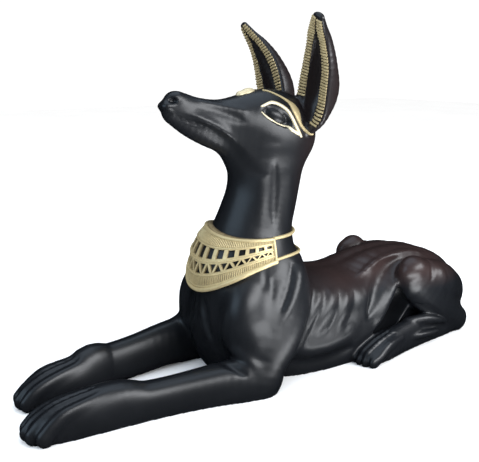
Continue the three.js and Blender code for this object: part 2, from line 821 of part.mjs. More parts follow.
class Queue {
    constructor() {
        this.items = [];
    }

    push(item) {
        const { items } = this;
        let at = items.push(item) - 1;
        while (at > 0) {
            const parent = (at - 1) >> 1;
            if (items[parent].cost <= item.cost) {
                break;
            }
            items[at] = items[parent];
            at = parent;
        }
        items[at] = item;
    }

    pop() {
        const { items } = this;
        const first = items[0];
        const item = items.pop();
        if (items.length > 0) {
            let at = 0;
            for (;;) {
                let child = 2 * at + 1;
                if (child >= items.length) {
                    break;
                }
                if (child + 1 < items.length && items[child + 1].cost < items[child].cost) {
                    child += 1;
                }
                if (item.cost <= items[child].cost) {
                    break;
                }
                items[at] = items[child];
                at = child;
            }
            items[at] = item;
        }
        return first;
    }
}

class Thinning {
    constructor(geometry) {
        const spots = geometry.attributes.position;
        const corners = geometry.index.array;
        this.points = [];
        this.around = [];
        this.faces = [];
        this.errors = [];
        this.stamps = new Int32Array(spots.count);
        for (let i = 0; i < spots.count; i += 1) {
            this.points.push(new THREE.Vector3().fromBufferAttribute(spots, i));
            this.around.push(new Set());
            this.errors.push(new Float64Array(10));
        }
        for (let f = 0; f < corners.length; f += 3) {
            this.faces.push([corners[f], corners[f + 1], corners[f + 2]]);
        }
        this.faces.forEach((face, f) => this.addFace(face, f));
        this.left = this.faces.length;
    }

    // A face's plane, weighted by its area, counts against each of its corners
    addFace(face, f) {
        const [a, b, c] = face.map((i) => this.points[i]);
        const normal = b.clone().sub(a).cross(c.clone().sub(a));
        const area = normal.length() * (a.z > HEAD_FLOOR ? HEAD_CARE : 1);
        normal.normalize();
        const plane = [normal.x, normal.y, normal.z, -normal.dot(a)];
        for (const i of face) {
            this.around[i].add(f);
            let slot = 0;
            for (let row = 0; row < 4; row += 1) {
                for (let column = row; column < 4; column += 1) {
                    this.errors[i][slot] += area * plane[row] * plane[column];
                    slot += 1;
                }
            }
        }
    }

    neighbours(i) {
        const near = new Set();
        for (const f of this.around[i]) {
            for (const j of this.faces[f]) {
                near.add(j);
            }
        }
        near.delete(i);
        return near;
    }

    // Where an edge would close up to, and what that costs
    plan(a, b) {
        const e = this.errors[a].map((value, slot) => value + this.errors[b][slot]);
        const middle = this.points[a].clone().add(this.points[b]).multiplyScalar(0.5);
        const hold = 1e-3 * (e[0] + e[4] + e[7]) + 1e-9;
        const matrix = new THREE.Matrix3().set(
            e[0] + hold, e[1], e[2],
            e[1], e[4] + hold, e[5],
            e[2], e[5], e[7] + hold,
        );
        const best = middle.clone().multiplyScalar(hold).sub(new THREE.Vector3(e[3], e[6], e[8]));
        best.applyMatrix3(matrix.invert());
        const { x, y, z } = best;
        const square = e[0] * x * x + e[4] * y * y + e[7] * z * z;
        const mixed = 2 * (e[1] * x * y + e[2] * x * z + e[5] * y * z);
        const cost = square + mixed + 2 * (e[3] * x + e[6] * y + e[8] * z) + e[9];
        return {
            a,
            b,
            best,
            cost: cost + hold * best.distanceToSquared(middle),
            stamps: this.stamps[a] + this.stamps[b],
        };
    }

    // Closing an edge must not pinch the surface or turn a face over
    allows({ a, b, best }) {
        const others = this.neighbours(b);
        const shared = [...this.neighbours(a)].filter((i) => others.has(i));
        if (shared.length !== 2) {
            return false;
        }
        const squareTo = ([p, q, r]) => new THREE.Vector3().subVectors(q, p).cross(r.clone().sub(p));
        for (const [moved, other] of [[a, b], [b, a]]) {
            for (const f of this.around[moved]) {
                const face = this.faces[f];
                if (face.includes(other)) {
                    continue;
                }
                const before = face.map((i) => this.points[i]);
                const after = face.map((i) => (i === moved ? best : this.points[i]));
                const normal = squareTo(before).normalize();
                const turned = squareTo(after);
                const longest = Math.max(...after.map((p, i) => p.distanceToSquared(after[(i + 1) % 3])));
                if (turned.length() < 0.05 * longest || turned.normalize().dot(normal) < 0.3) {
                    return false;
                }
            }
        }
        return true;
    }

    close({ a, b, best }) {
        this.points[a] = best;
        this.errors[a] = this.errors[a].map((value, slot) => value + this.errors[b][slot]);
        for (const f of [...this.around[b]]) {
            const face = this.faces[f];
            if (face.includes(a)) {
                face.forEach((i) => this.around[i].delete(f));
                this.faces[f] = null;
                this.left -= 1;
            } else {
                face[face.indexOf(b)] = a;
                this.around[a].add(f);
            }
        }
        this.around[b].clear();
        this.stamps[a] += 1;
        this.stamps[b] = -1e6;
    }

    run(target) {
        const queue = new Queue();
        for (const [a, b, c] of this.faces) {
            for (const [from, to] of [[a, b], [b, c], [c, a]]) {
                if (from < to) {
                    queue.push(this.plan(from, to));
                }
            }
        }
        while (this.left > target && queue.items.length > 0) {
            const edge = queue.pop();
            if (edge.stamps !== this.stamps[edge.a] + this.stamps[edge.b] || !this.allows(edge)) {
                continue;
            }
            this.close(edge);
            for (const near of this.neighbours(edge.a)) {
                queue.push(this.plan(edge.a, near));
            }
        }
    }

    geometry() {
        const kept = this.faces.filter(Boolean);
        return geometryOf(kept.flatMap((face) => face.flatMap((i) => this.points[i].toArray())));
    }
}


// Closed solids, which are joined and cut

function solidOf(geometry) {
    const bare = geometry.clone();
    bare.deleteAttribute('normal');
    bare.deleteAttribute('uv');
    const merged = mergeVertices(bare, 1e-4);
    return new wasm.Manifold(new wasm.Mesh({
        numProp: 3,
        vertProperties: new Float32Array(merged.attributes.position.array),
        triVerts: new Uint32Array(merged.index.array),
    }));
}

function meshOf(solid) {
    const { vertProperties, triVerts } = solid.getMesh();
    const geometry = new THREE.BufferGeometry();
    geometry.setAttribute('position', new THREE.BufferAttribute(new Float32Array(vertProperties), 3));
    geometry.setIndex(new THREE.BufferAttribute(new Uint32Array(triVerts), 1));
    return geometry;
}

// Cuts the cast flat where it stands on the ground
function standOnGround(solid) {
    const deep = 100;
    const ground = new THREE.BoxGeometry(1000, 2000, deep);
    ground.translate(0, 0, -deep / 2);
    return solid.subtract(solidOf(ground));
}


// The statue, with its origin under the middle of its box

function makeJackal() {
    const clay = sculpt(CELL);
    const thinning = new Thinning(surfaceOf(clay));
    thinning.run(TRIANGLES);
    const cast = meshOf(standOnGround(cutOpenwork(clay, solidOf(thinning.geometry()))));
    cast.computeBoundingBox();
    const middle = cast.boundingBox.getCenter(new THREE.Vector3());
    cast.translate(-middle.x, -middle.y, 0);
    cast.computeVertexNormals();
    const paint = new THREE.MeshStandardMaterial({ color: 0x17181b, roughness: 0.32, metalness: 0 });
    const jackal = new THREE.Mesh(cast, paint);
    jackal.name = 'jackal';
    return jackal;
}

const statue = new THREE.Group();
statue.add(makeJackal());

export default statue;
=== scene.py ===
import math

import bpy
import numpy as np
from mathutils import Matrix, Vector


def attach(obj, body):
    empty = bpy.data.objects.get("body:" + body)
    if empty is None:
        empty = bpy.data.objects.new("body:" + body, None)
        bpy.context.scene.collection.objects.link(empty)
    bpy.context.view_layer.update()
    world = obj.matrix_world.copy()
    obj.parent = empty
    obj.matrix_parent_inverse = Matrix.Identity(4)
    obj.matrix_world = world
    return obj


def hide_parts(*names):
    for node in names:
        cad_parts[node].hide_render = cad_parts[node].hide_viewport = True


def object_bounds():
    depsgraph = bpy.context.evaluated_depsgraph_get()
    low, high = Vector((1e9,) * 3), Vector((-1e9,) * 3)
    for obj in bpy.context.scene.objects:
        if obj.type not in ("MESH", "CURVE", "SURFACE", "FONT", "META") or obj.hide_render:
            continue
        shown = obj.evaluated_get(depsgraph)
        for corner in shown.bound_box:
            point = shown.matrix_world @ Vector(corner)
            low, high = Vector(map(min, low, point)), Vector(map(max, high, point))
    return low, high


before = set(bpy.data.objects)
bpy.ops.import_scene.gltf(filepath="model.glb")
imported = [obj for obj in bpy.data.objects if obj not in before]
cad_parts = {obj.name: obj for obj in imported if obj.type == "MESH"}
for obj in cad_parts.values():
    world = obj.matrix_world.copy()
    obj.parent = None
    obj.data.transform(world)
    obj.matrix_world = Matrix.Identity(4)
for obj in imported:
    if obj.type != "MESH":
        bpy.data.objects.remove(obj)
cad_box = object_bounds()


# Viewpoint: a little above the head, from the animal's front left, as the photograph was taken. Lens,
# place and tilt were solved from the photograph, whose width is in pixels here.

PHOTO_WIDTH = 479
SENSOR_WIDTH = 36
FOCAL_LENGTH = 53.5
TILT = 76.6
HEADING = 57

lens = bpy.data.cameras.new("camera")
lens.sensor_width = SENSOR_WIDTH
lens.lens = FOCAL_LENGTH
lens.shift_x = -0.5 / PHOTO_WIDTH
viewpoint = bpy.data.objects.new("camera", lens)
viewpoint.location = (1.122, -0.7997, 0.600)
viewpoint.rotation_euler = (math.radians(TILT), 0, math.radians(HEADING))
bpy.context.scene.collection.objects.link(viewpoint)
bpy.context.scene.camera = viewpoint


# The casting: body, neck, head, ears, legs and tail in one piece, sculpted in clay first. The clay is
# a block of distances to the surface in millimetres, negative inside, to which forms are joined and
# from which they are carved, as in the CAD part, on a finer grid. Side 1 is the animal's left.

CELL = 3.0
ROOM = ((-175, -565, -20), (175, 560, 710))
FAR = 200.0
JOIN_REACH = 40
CARVE_REACH = 16
PRESS_REACH = 2.5
SIDES = (1, -1)

CHEST_HALF_WIDTH = 112
BACK_HEIGHT = 196
NECK_HALF_WIDTH = 64
MUZZLE_TOP = 544
EAR_ROOT_HEIGHT = 484
EAR_LENGTH = 204
EAR_HALF_WIDTH = 45
EAR_DEPTH = 42
EAR_RIM = 3
EAR_BAND = 25
EAR_HOLLOW = 26
HOLLOW_TOP = 0.9
HOLLOW_TAPER = 0.24
HOLLOW_LEAST = 0.04
KNEE_HEIGHT = 168
PAW_HALF_WIDTH = 33
TOE_SPACING = 15
HIND_TOE_SPACING = 14
HIND_TOE_DROP = 2.2
FLANK_HOLLOW_RADIUS = 21


def blended_minimum(a, b, blend):
    """The smaller of two distances, rounded over where they meet."""
    if blend == 0:
        return np.minimum(a, b)
    overlap = np.maximum(blend - np.abs(a - b), 0)
    return np.minimum(a, b) - overlap * overlap / (4 * blend)


class Form:
    """Parts of (low corner, high corner, distance function) that make one form."""

    def __init__(self, parts):
        self.parts = parts
        self.low = np.min([part[0] for part in parts], axis=0)
        self.high = np.max([part[1] for part in parts], axis=0)

    def on_side(self, side):
        if side > 0:
            return self

        def mirrored(low, high, distance):
            return (
                np.array([-high[0], low[1], low[2]]),
                np.array([-low[0], high[1], high[2]]),
                lambda x, y, z: distance(-x, y, z),
            )

        return Form([mirrored(*part) for part in self.parts])


class Clay:
    """The block of distances; join, carve and press change it, and sample, slope and settle read it."""

    def __init__(self, room, cell):
        self.low = np.array(room[0], float)
        self.cell = cell
        count = np.ceil((np.array(room[1]) - self.low) / cell).astype(int) + 1
        self.axes = [(self.low[i] + cell * np.arange(count[i])).astype(np.float32) for i in range(3)]
        self.field = np.full(count, FAR, np.float32)

    def window(self, low, high):
        cut = []
        for axis in range(3):
            first = np.searchsorted(self.axes[axis], low[axis])
            last = np.searchsorted(self.axes[axis], high[axis], side="right")
            cut.append(slice(first, max(first, last)))
        return tuple(cut)

    def grid(self, cut):
        x, y, z = (self.axes[axis][cut[axis]] for axis in range(3))
        return x[:, None, None], y[None, :, None], z[None, None, :]

    def measure(self, form, margin):
        whole = self.window(form.low - margin, form.high + margin)
        near = np.full([c.stop - c.start for c in whole], FAR, np.float32)
        for low, high, distance in form.parts:
            cut = self.window(low - margin, high + margin)
            inner = tuple(slice(c.start - w.start, c.stop - w.start) for c, w in zip(cut, whole))
            if near[inner].size:
                near[inner] = np.minimum(near[inner], distance(*self.grid(cut)))
        return whole, near

    def join(self, form, blend=0, side=1):
        cut, near = self.measure(form.on_side(side), JOIN_REACH)
        self.field[cut] = blended_minimum(self.field[cut], near, blend)

    def carve(self, form, blend=0, side=1):
        cut, near = self.measure(form.on_side(side), CARVE_REACH)
        self.field[cut] = -blended_minimum(-self.field[cut], near, blend)

    def press(self, form, depth, width, side=1):
        """Presses the surface in by depth along a form, fading over width; a negative depth raises it."""
        cut, near = self.measure(form.on_side(side), PRESS_REACH * width)
        self.field[cut] += depth * np.exp(-((np.maximum(near, 0) / width) ** 2))

    def sample(self, spots):
        place = (spots - self.low) / self.cell
        floor = np.clip(np.floor(place).astype(int), 0, np.array(self.field.shape) - 2)
        share = place - floor
        value = np.zeros(len(spots))
        for corner in np.ndindex(2, 2, 2):
            weight = np.prod(np.where(corner, share, 1 - share), axis=1)
            value += weight * self.field[tuple((floor + corner).T)]
        return value

    def slope(self, spots):
        steps = 0.6 * self.cell * np.eye(3)
        rises = [self.sample(spots + step) - self.sample(spots - step) for step in steps]
        return np.stack(rises, 1) / (1.2 * self.cell)

    def settle(self, spots, rounds):
        """Moves points straight to the clay's surface, by 6 mm in a round at most."""
        spots = spots.copy()
        for _ in range(rounds):
            slope = self.slope(spots)
            reach = self.sample(spots) / np.maximum((slope**2).sum(1), 0.05)
            spots -= np.clip(reach, -6, 6)[:, None] * slope
        return spots


def smooth_rows(stations, steps=4):
    """A smooth spline through rows of numbers, any number of columns."""
    rows = np.array(stations, float)
    rows = np.vstack([2 * rows[0] - rows[1], rows, 2 * rows[-1] - rows[-2]])
    smooth = []
    for i in range(1, len(rows) - 2):
        a, b, c, d = rows[i - 1 : i + 3]
        for t in np.arange(steps) / steps:
            bend = 2 * a - 5 * b + 4 * c - d
            twist = 3 * b - a - 3 * c + d
            smooth.append(0.5 * (2 * b + (c - a) * t + bend * t**2 + twist * t**3))
    return np.array(smooth + [rows[-2]])


def from_run(x, y, z, start, run):
    """The share of the way along a straight run that is nearest, and the offset from there."""
    px, py, pz = x - start[0], y - start[1], z - start[2]
    t = np.clip((px * run[0] + py * run[1] + pz * run[2]) / (run @ run), 0, 1)
    return t, px - t * run[0], py - t * run[1], pz - t * run[2]


def limb(stations, fullness=2.0):
    """A limb through stations [x, y, z, half width, above, below], squarer where fullness is over 2.

    Above is up, or forward on an upright stretch. A value left out is as the one before it.
    """
    whole = []
    for x, y, z, wide, *rest in stations:
        above = rest[0] if rest else wide
        below = rest[1] if len(rest) > 1 else above
        whole.append([x, y, z, wide, above, below])
    rows = smooth_rows(whole)
    parts = []
    for start, end in zip(rows[:-1], rows[1:]):
        run = end[:3] - start[:3]
        along = run / math.sqrt(run @ run)
        across = np.array([1.0, 0, 0]) - along[0] * along
        across /= np.linalg.norm(across)
        up = np.cross(across, along)

        def distance(x, y, z, start=start, end=end, run=run, across=across, up=up):
            t, ox, oy, oz = from_run(x, y, z, start, run)
            off2 = ox * ox + oy * oy + oz * oz
            aside = np.abs(ox * across[0] + oy * across[1] + oz * across[2])
            rest = np.sqrt(np.maximum(off2 - aside * aside, 1e-6))
            lean = 0.5 + 0.5 * np.clip((ox * up[0] + oy * up[1] + oz * up[2]) / rest, -1, 1)
            wide, above, below = (start[k] + t * (end[k] - start[k]) for k in (3, 4, 5))
            high = below + lean * (above - below)
            a, b = aside / wide, rest / high
            if fullness == 2:
                share = np.sqrt(a * a + b * b)
            else:
                share = (a**fullness + b**fullness) ** (1 / fullness)
            off = np.sqrt(off2)
            return np.where(share > 1e-3, off - off / np.maximum(share, 1e-3), -np.minimum(wide, high))

        reach = max(start[3:].max(), end[3:].max())
        low = np.minimum(start[:3], end[:3]) - reach
        high = np.maximum(start[:3], end[:3]) + reach
        parts.append((low, high, distance))
    return Form(parts)


def line(points, radius=1.0):
    return limb([[*point, radius] for point in points])


def stroke(points, fade=14):
    """A path for pressing along; it gets weaker toward its ends."""
    rows = smooth_rows(points)
    last = len(rows) - 1
    parts = []
    for i in range(last):
        start, run = rows[i], rows[i + 1] - rows[i]

        def distance(x, y, z, i=i, start=start, run=run):
            t, ox, oy, oz = from_run(x, y, z, start, run)
            off = np.sqrt(ox**2 + oy**2 + oz**2)
            return off + fade * (2 * (i + t) / last - 1) ** 4

        low, high = np.minimum(start, rows[i + 1]) - 1, np.maximum(start, rows[i + 1]) + 1
        parts.append((low, high, distance))
    return Form(parts)


def press_all(clay, side, strokes):
    for path, depth, width in strokes:
        clay.press(stroke(path), depth, width, side)


def turned(rx, ry, rz):
    """The matrix of turns by degrees about X, then Y, then Z."""
    cx, cy, cz = np.cos(np.radians([rx, ry, rz]))
    sx, sy, sz = np.sin(np.radians([rx, ry, rz]))
    about_x = np.array([[1, 0, 0], [0, cx, -sx], [0, sx, cx]])
    about_y = np.array([[cy, 0, sy], [0, 1, 0], [-sy, 0, cy]])
    about_z = np.array([[cz, -sz, 0], [sz, cz, 0], [0, 0, 1]])
    return about_z @ about_y @ about_x


def lump(centre, halves, turn=(0, 0, 0)):
    """An ellipsoid with its half axes turned by degrees about X, Y and Z."""
    centre = np.array(centre, float)
    axes = turned(*turn)

    def distance(x, y, z):
        px, py, pz = x - centre[0], y - centre[1], z - centre[2]
        near = slope = 0
        for axis in range(3):
            along = px * axes[0, axis] + py * axes[1, axis] + pz * axes[2, axis]
            near = near + (along / halves[axis]) ** 2
            slope = slope + (along / halves[axis] ** 2) ** 2
        share = np.sqrt(near)
        return share * (share - 1) / (np.sqrt(slope) + 1e-9)

    return Form([(centre - max(halves), centre + max(halves), distance)])


def add_trunk(clay):
    rise = BACK_HEIGHT - 100
    clay.join(limb([
        [0, -60, 105, 92, rise, 102],
        [0, 0, 100, 104, rise, 125],
        [0, 90, 96, CHEST_HALF_WIDTH + 3, rise - 7, 200],
        [0, 180, 94, 108, rise - 10, 160],
        [0, 270, 98, 88, rise + 8, 110],
        [0, 350, 94, 82, rise + 10, 105],
        [0, 418, 79, 73, rise, 95],
        [0, 460, 64, 52, 70, 80],
    ], 2.6))
    clay.join(limb([
        [0, -36, -10, 56, 30, 60],
        [0, -72, 50, 88, 76, 70],
        [0, -74, 90, 94, 84, 80],
        [0, -70, 150, 98, 94, 90],
        [0, -56, 205, 90, 92, 90],
    ], 2.2), 24)
    for side in SIDES:
        clay.join(lump([72, -98, 130], [46, 62, 84], [0, 0, 24]), 20, side)


def add_neck(clay):
    clay.join(limb([
        [0, -56, 195, 92, 100, 92],
        [0, -42, 245, 80, 94, 80],
        [0, -32, 295, 70, 81, 70],
        [0, -18, 345, NECK_HALF_WIDTH, 76, 69],
        [0, -8, 392, 60, 83, 71],
        [0, 10, 440, 56, 116, 65],
    ]), 34)


def add_head(clay):
    clay.join(limb([
        [0, -200, MUZZLE_TOP - 20, 17, 25, 36],
        [0, -165, MUZZLE_TOP - 37, 23, 31, 43],
        [0, -120, MUZZLE_TOP - 50, 30, 39, 52],
        [0, -70, MUZZLE_TOP - 56, 42, 50, 63],
        [0, -20, MUZZLE_TOP - 60, 52, 57, 74],
        [0, 22, 480, 56, 54, 60],
        [0, 44, 466, 50, 44, 50],
    ], 2.2), 18)
    for side in SIDES:
        clay.join(lump([36, -5, 446], [22, 44, 30], [-20, 0, 0]), 16, side)


# Height share, out, back, and shares of the half width and of the depth behind
LEFT_EAR = [
    [0, 50, 45, 0.64, 0.4],
    [0.13, 61, 48, 0.95, 0.72],
    [0.32, 68, 49, 1, 1.14],
    [0.53, 77, 48, 0.9, 0.86],
    [0.72, 87, 41, 0.65, 0.62],
    [0.83, 98, 31, 0.46, 0.42],
    [0.94, 113, 20, 0.28, 0.2],
]
RIGHT_EAR = [
    [0, 50, 46, 0.68, 0.6],
    [0.13, 61, 48, 0.95, 1.05],
    [0.32, 68, 47, 1, 1.12],
    [0.53, 80, 43, 0.9, 0.72],
    [0.7, 94, 34, 0.65, 0.42],
    [0.81, 105, 24, 0.46, 0.2],
    [0.915, 115, 14, 0.24, 0.12],
]


def ear_stations(side, width, front, back, shift):
    return [
        [x, y - shift, EAR_ROOT_HEIGHT + share * EAR_LENGTH, wide * width, front, deep * back]
        for share, x, y, wide, deep in (LEFT_EAR if side > 0 else RIGHT_EAR)
    ]


def hollow_stations(side, front, back, shift):
    """The hollow narrows to nothing below the tip, so that the rims' flat faces meet over it."""
    width = EAR_HALF_WIDTH - EAR_BAND
    stations = ear_stations(side, width, front, back, shift)
    for station in stations:
        share = (station[2] - EAR_ROOT_HEIGHT) / EAR_LENGTH
        taper = min(max((HOLLOW_TOP - share) / HOLLOW_TAPER, HOLLOW_LEAST), 1)
        station[3] *= taper
        station[5] *= taper
    return stations


def add_ear(clay, side):
    outside = ear_stations(side, EAR_HALF_WIDTH, front=6, back=EAR_DEPTH, shift=0)
    face = ear_stations(side, EAR_HALF_WIDTH - EAR_RIM, front=14, back=6, shift=8)
    hollow = hollow_stations(side, front=12, back=EAR_HOLLOW, shift=6)
    clay.join(limb(outside), 5, side)
    clay.carve(limb(face), 2, side)
    clay.carve(limb([station for station in hollow if station[3] > 1]), 1, side)


def add_foreleg(clay, side):
    """The right foreleg reaches a little less far, and its upper edge is higher."""
    back = 0 if side > 0 else 24
    rise = -4 if side > 0 else 10
    under = 40 if side > 0 else 25
    clay.join(limb([
        [114, -104, -6, 29, 34, 22],
        [113, -90, 40, 37, 44, 29],
        [105, -60, 90, 40, 56, 52],
        [92, -32, 140, 38, 56, 58],
        [76, -8, 190, 34, 42, 44],
        [58, 8, 220, 24, 22, 24],
    ]), 22, side)
    clay.join(limb([
        [64, -492 + back, 14, 28, 30, 24],
        [66, -460 + back, 17, PAW_HALF_WIDTH, 45, under],
        [70, -410 + back, 19, PAW_HALF_WIDTH, 52, under],
        [75, -365 + 0.5 * back, 21, 31, 55 + 0.8 * rise, under],
        [81, -320, 22, 28, 44 + rise, under],
        [88, -260, 23, 28, 44 + 1.2 * rise, under],
        [98, -190, 25, 32, 48 + 1.4 * rise, under],
        [108, -130, 24, 37, 52 + 1.2 * rise, under + 6],
        [112, -103, 22, 34, 54, 40],
    ], 2.4), 12, side)
    for toe, short in ((-1.5, 5), (-0.5, 0), (0.5, 3), (1.5, 16)):
        across = toe * TOE_SPACING
        tip = back + short
        clay.join(limb([
            [66 + 1.15 * across, -516 + tip, 15, 9.5, 15, 16],
            [66 + 1.1 * across, -498 + tip, 31, 9.5, 15, 14],
            [67 + across, -460 + back, 44, 9, 14, 14],
            [70 + 0.8 * across, -415 + back, 52, 7, 13, 12],
            [73 + 0.6 * across, -385 + back, 60, 5, 8, 8],
        ]), 4, side)
    for gap in (-1, 0, 1):
        across = gap * TOE_SPACING
        clay.press(stroke([
            [66 + 1.15 * across, -530 + back, 22],
            [66 + 1.1 * across, -502 + back, 46],
            [67 + across, -462 + back, 60],
            [70 + 0.8 * across, -418 + back, 68],
            [73 + 0.6 * across, -388 + back, 72],
        ]), 5, 4, side)


def add_hind_leg(clay, side):
    clay.join(limb([
        [98, 300, KNEE_HEIGHT - 2, 27, 30, 34],
        [97, 340, 142, 36, 44, 50],
        [84, 392, 112, 44, 58, 62],
        [64, 443, 81, 43, 59, 58],
    ]), 16, side)
    clay.join(limb([
        [104, 306, 130, 22, 28, 28],
        [104, 360, 92, 26, 36, 36],
        [98, 412, 56, 27, 38, 38],
        [92, 460, 24, 23, 32, 28],
    ]), 12, side)
    knee = [100, 306, KNEE_HEIGHT + 1] if side > 0 else [100, 313, KNEE_HEIGHT + 5]
    clay.join(lump(knee, [28, 29, 29]), 5, side)
    clay.join(limb([
        [130, 160, 12, 22, 24, 15],
        [126, 200, 15, 25, 38, 18],
        [116, 260, 15, 20, 46, 18],
        [103, 340, 15, 20, 48, 18],
        [94, 412, 17, 21, 42, 20],
        [88, 446, 22, 21, 34, 24],
    ], 2.4), 8, side)
    for toe in (-1.5, -0.5, 0.5, 1.5):
        across = toe * HIND_TOE_SPACING
        drop = HIND_TOE_DROP * (toe + 1.5)
        back = 3 * toe + 4 * abs(toe)
        clay.join(limb([
            [131 + across, 142 + back, 9, 8, 12, 12],
            [130 + across, 160 + back, 24 - drop, 8, 11, 11],
            [127 + 0.9 * across, 200, 40 - drop, 7.5, 11, 11],
            [121 + 0.7 * across, 245, 44 - drop, 5, 8, 8],
        ]), 3, side)
    for gap in (-1, 0, 1):
        across = gap * HIND_TOE_SPACING
        drop = HIND_TOE_DROP * (gap + 1.5)
        clay.press(stroke([
            [131 + across, 128 + 3 * gap, 14],
            [130 + across, 148 + 3 * gap, 34 - drop],
            [127 + 0.9 * across, 196, 53 - drop],
            [122 + 0.7 * across, 234, 58 - drop],
        ], 8), 7, 4, side)


def carve_flank(clay, side):
    """The deep hollow of the flank, behind the fold of skin and under the thigh."""
    clay.carve(lump([100, 268, 86], [62, 38, 72], [-49, 0, 0]), 3, side)
    for x in (94, 72):
        path = [[x - 6, 290, 120], [x - 2, 258, 97], [x + 2, 231, 77], [x + 4, 208, 56]]
        clay.carve(line(path, FLANK_HOLLOW_RADIUS), 3, side)


# Each stroke is a path, how deep it presses in, less than 0 for out, and how wide it is
BREAST_STROKES = [
    [[[16, -163, 174], [30, -162, 122], [44, -154, 84]], 4, 8],
    [[[4, -164, 176], [16, -164, 123], [32, -157, 83], [48, -149, 54]], -3, 6],
    [[[82, -152, 166], [81, -156, 122], [72, -152, 87]], -3, 7],
]
# Muscles of the shoulder, its rear edge, and the crease and bulge above the elbow
SHOULDER_STROKES = [
    [[[90, -80, 240], [95, -82, 218], [105, -86, 194]], -3, 12],
    [[[90, -62, 250], [98, -64, 203], [114, -76, 160]], 1.5, 8],
    [[[88, -11, 234], [106, -27, 203], [117, -45, 176], [125, -65, 148]], 3.5, 9],
    [
        [[86, 15, 226], [98, -1, 212], [108, -10, 198], [119, -26, 174], [128, -47, 150], [133, -69, 126]],
        -5, 12,
    ],
    [[[84, 14, 232], [97, 42, 178], [106, 30, 150], [119, 6, 108], [130, -30, 62], [141, -68, 34]], 9, 8],
    [[[70, -174, 62], [96, -173, 68], [112, -168, 67], [129, -154, 58], [138, -136, 45]], 5, 6],
    [[[84, -150, 86], [108, -150, 86], [128, -136, 74], [138, -116, 56]], -5, 12],
]
# Between the ribs, the ribs, the belly, and the tuck under it
RIB_STROKES = [
    [[[88, 74, 170], [104, 59, 143], [110, 41, 119], [113, 14, 84]], 2.2, 8],
    [[[90, 108, 166], [109, 93, 131], [113, 79, 108], [116, 54, 73]], 2.2, 8],
    [[[96, 144, 156], [110, 130, 121], [113, 116, 95], [118, 92, 66]], 2, 9],
    [[[84, 58, 172], [102, 40, 149], [111, 17, 121], [118, -8, 90]], -2, 10],
    [[[90, 86, 166], [108, 73, 138], [114, 54, 110], [115, 30, 76]], -2, 10],
    [[[96, 122, 158], [112, 108, 127], [116, 94, 102], [117, 74, 72]], -2.5, 10],
    [[[100, -24, 60], [112, 21, 56], [114, 60, 55], [113, 95, 62], [108, 130, 72]], -11, 20],
    [[[104, -20, 28], [112, 30, 26], [112, 80, 30], [106, 140, 36]], 6, 14],
]
# The waist and the fold of skin behind it
FLANK_STROKES = [
    [
        [[62, 292, 184], [70, 264, 176], [79, 240, 164], [90, 210, 141], [98, 192, 120], [104, 172, 92]],
        15, 16,
    ],
    [[[80, 284, 162], [96, 256, 132], [104, 230, 106], [108, 206, 80], [108, 188, 58]], -6, 11],
]
# The hip's ridge runs further forward on the left
HIP_FRONT = [[74, 168, 168], [70, 194, 178], [61, 239, 190]]
HIP_BACK = [[57, 278, 194], [54, 319, 197], [54, 356, 193], [56, 400, 180]]
# Behind the knee, the haunch, the thigh's lower edge, and a groove along the foot
HAUNCH_STROKES = [
    [[[100, 340, 192], [114, 342, 182], [128, 334, 164], [134, 328, 142]], 4, 8],
    [[[120, 366, 168], [128, 366, 150], [130, 366, 128]], -5, 14],
    [[[108, 298, 100], [120, 318, 88], [126, 345, 75], [126, 368, 58], [122, 388, 44]], 9, 6],
    [[[124, 300, 46], [126, 338, 40], [124, 375, 36]], 5, 4],
]


def carve_body(clay):
    spine = line([[0, 90, 196], [0, 180, 194], [0, 270, 206], [0, 360, 202], [0, 450, 165]])
    upper_tendon = limb([[108, 286, 58, 8], [118, 330, 58, 11], [122, 366, 50, 9], [120, 392, 40, 5]])
    lower_tendon = limb([[124, 268, 30, 7], [126, 320, 27, 9], [123, 362, 24, 7]])
    clay.press(spine, 4, 12)
    for side in SIDES:
        clay.join(lump([90, -112, 98], [42, 36, 46]), 16, side)
        for strokes in (BREAST_STROKES, SHOULDER_STROKES, RIB_STROKES, FLANK_STROKES, HAUNCH_STROKES):
            press_all(clay, side, strokes)
        press_all(clay, side, [[HIP_FRONT + HIP_BACK if side > 0 else HIP_BACK, -7, 11]])
        clay.join(upper_tendon, 5, side)
        clay.join(lower_tendon, 4, side)


# The groove down the side of the neck and the raised muscles on either side of it
NECK_STROKES = [
    [[[57, -30, 425], [57, -30, 376], [61, -35, 339], [72, -40, 293]], 4.5, 10],
    [[[50, -58, 398], [54, -58, 350], [62, -66, 290]], -1.5, 14],
    [[[61, 4, 398], [62, 4, 350], [68, 0, 290]], -1.5, 14],
]
# Mouth, ridge from the muzzle to the cheek, hollow under it, groove above it, ridge to the eye, and
# the hollow under the eye
FACE_STROKES = [
    [[[9, -228, 517], [12, -211, 507], [17, -186, 497], [23, -153, 488], [29, -130, 480]], 3, 4],
    [
        [
            [18, -199, 512], [23, -179, 507], [28, -162, 499], [33, -142, 489], [38, -124, 476],
            [45, -107, 458], [51, -90, 442], [56, -74, 430], [61, -54, 425], [64, -34, 427],
        ],
        -6, 9,
    ],
    [
        [[26, -160, 480], [32, -132, 464], [35, -109, 442], [38, -90, 420], [46, -66, 400], [54, -40, 396]],
        5, 10,
    ],
    [[[20, -190, 526], [27, -140, 515], [35, -106, 503], [44, -80, 492]], 3, 7],
    [[[14, -180, 536], [18, -145, 528], [25, -114, 520], [34, -90, 514], [42, -72, 512]], -3, 7],
    [[[40, -100, 482], [50, -74, 468], [57, -48, 458], [62, -20, 454]], 1.5, 12],
]


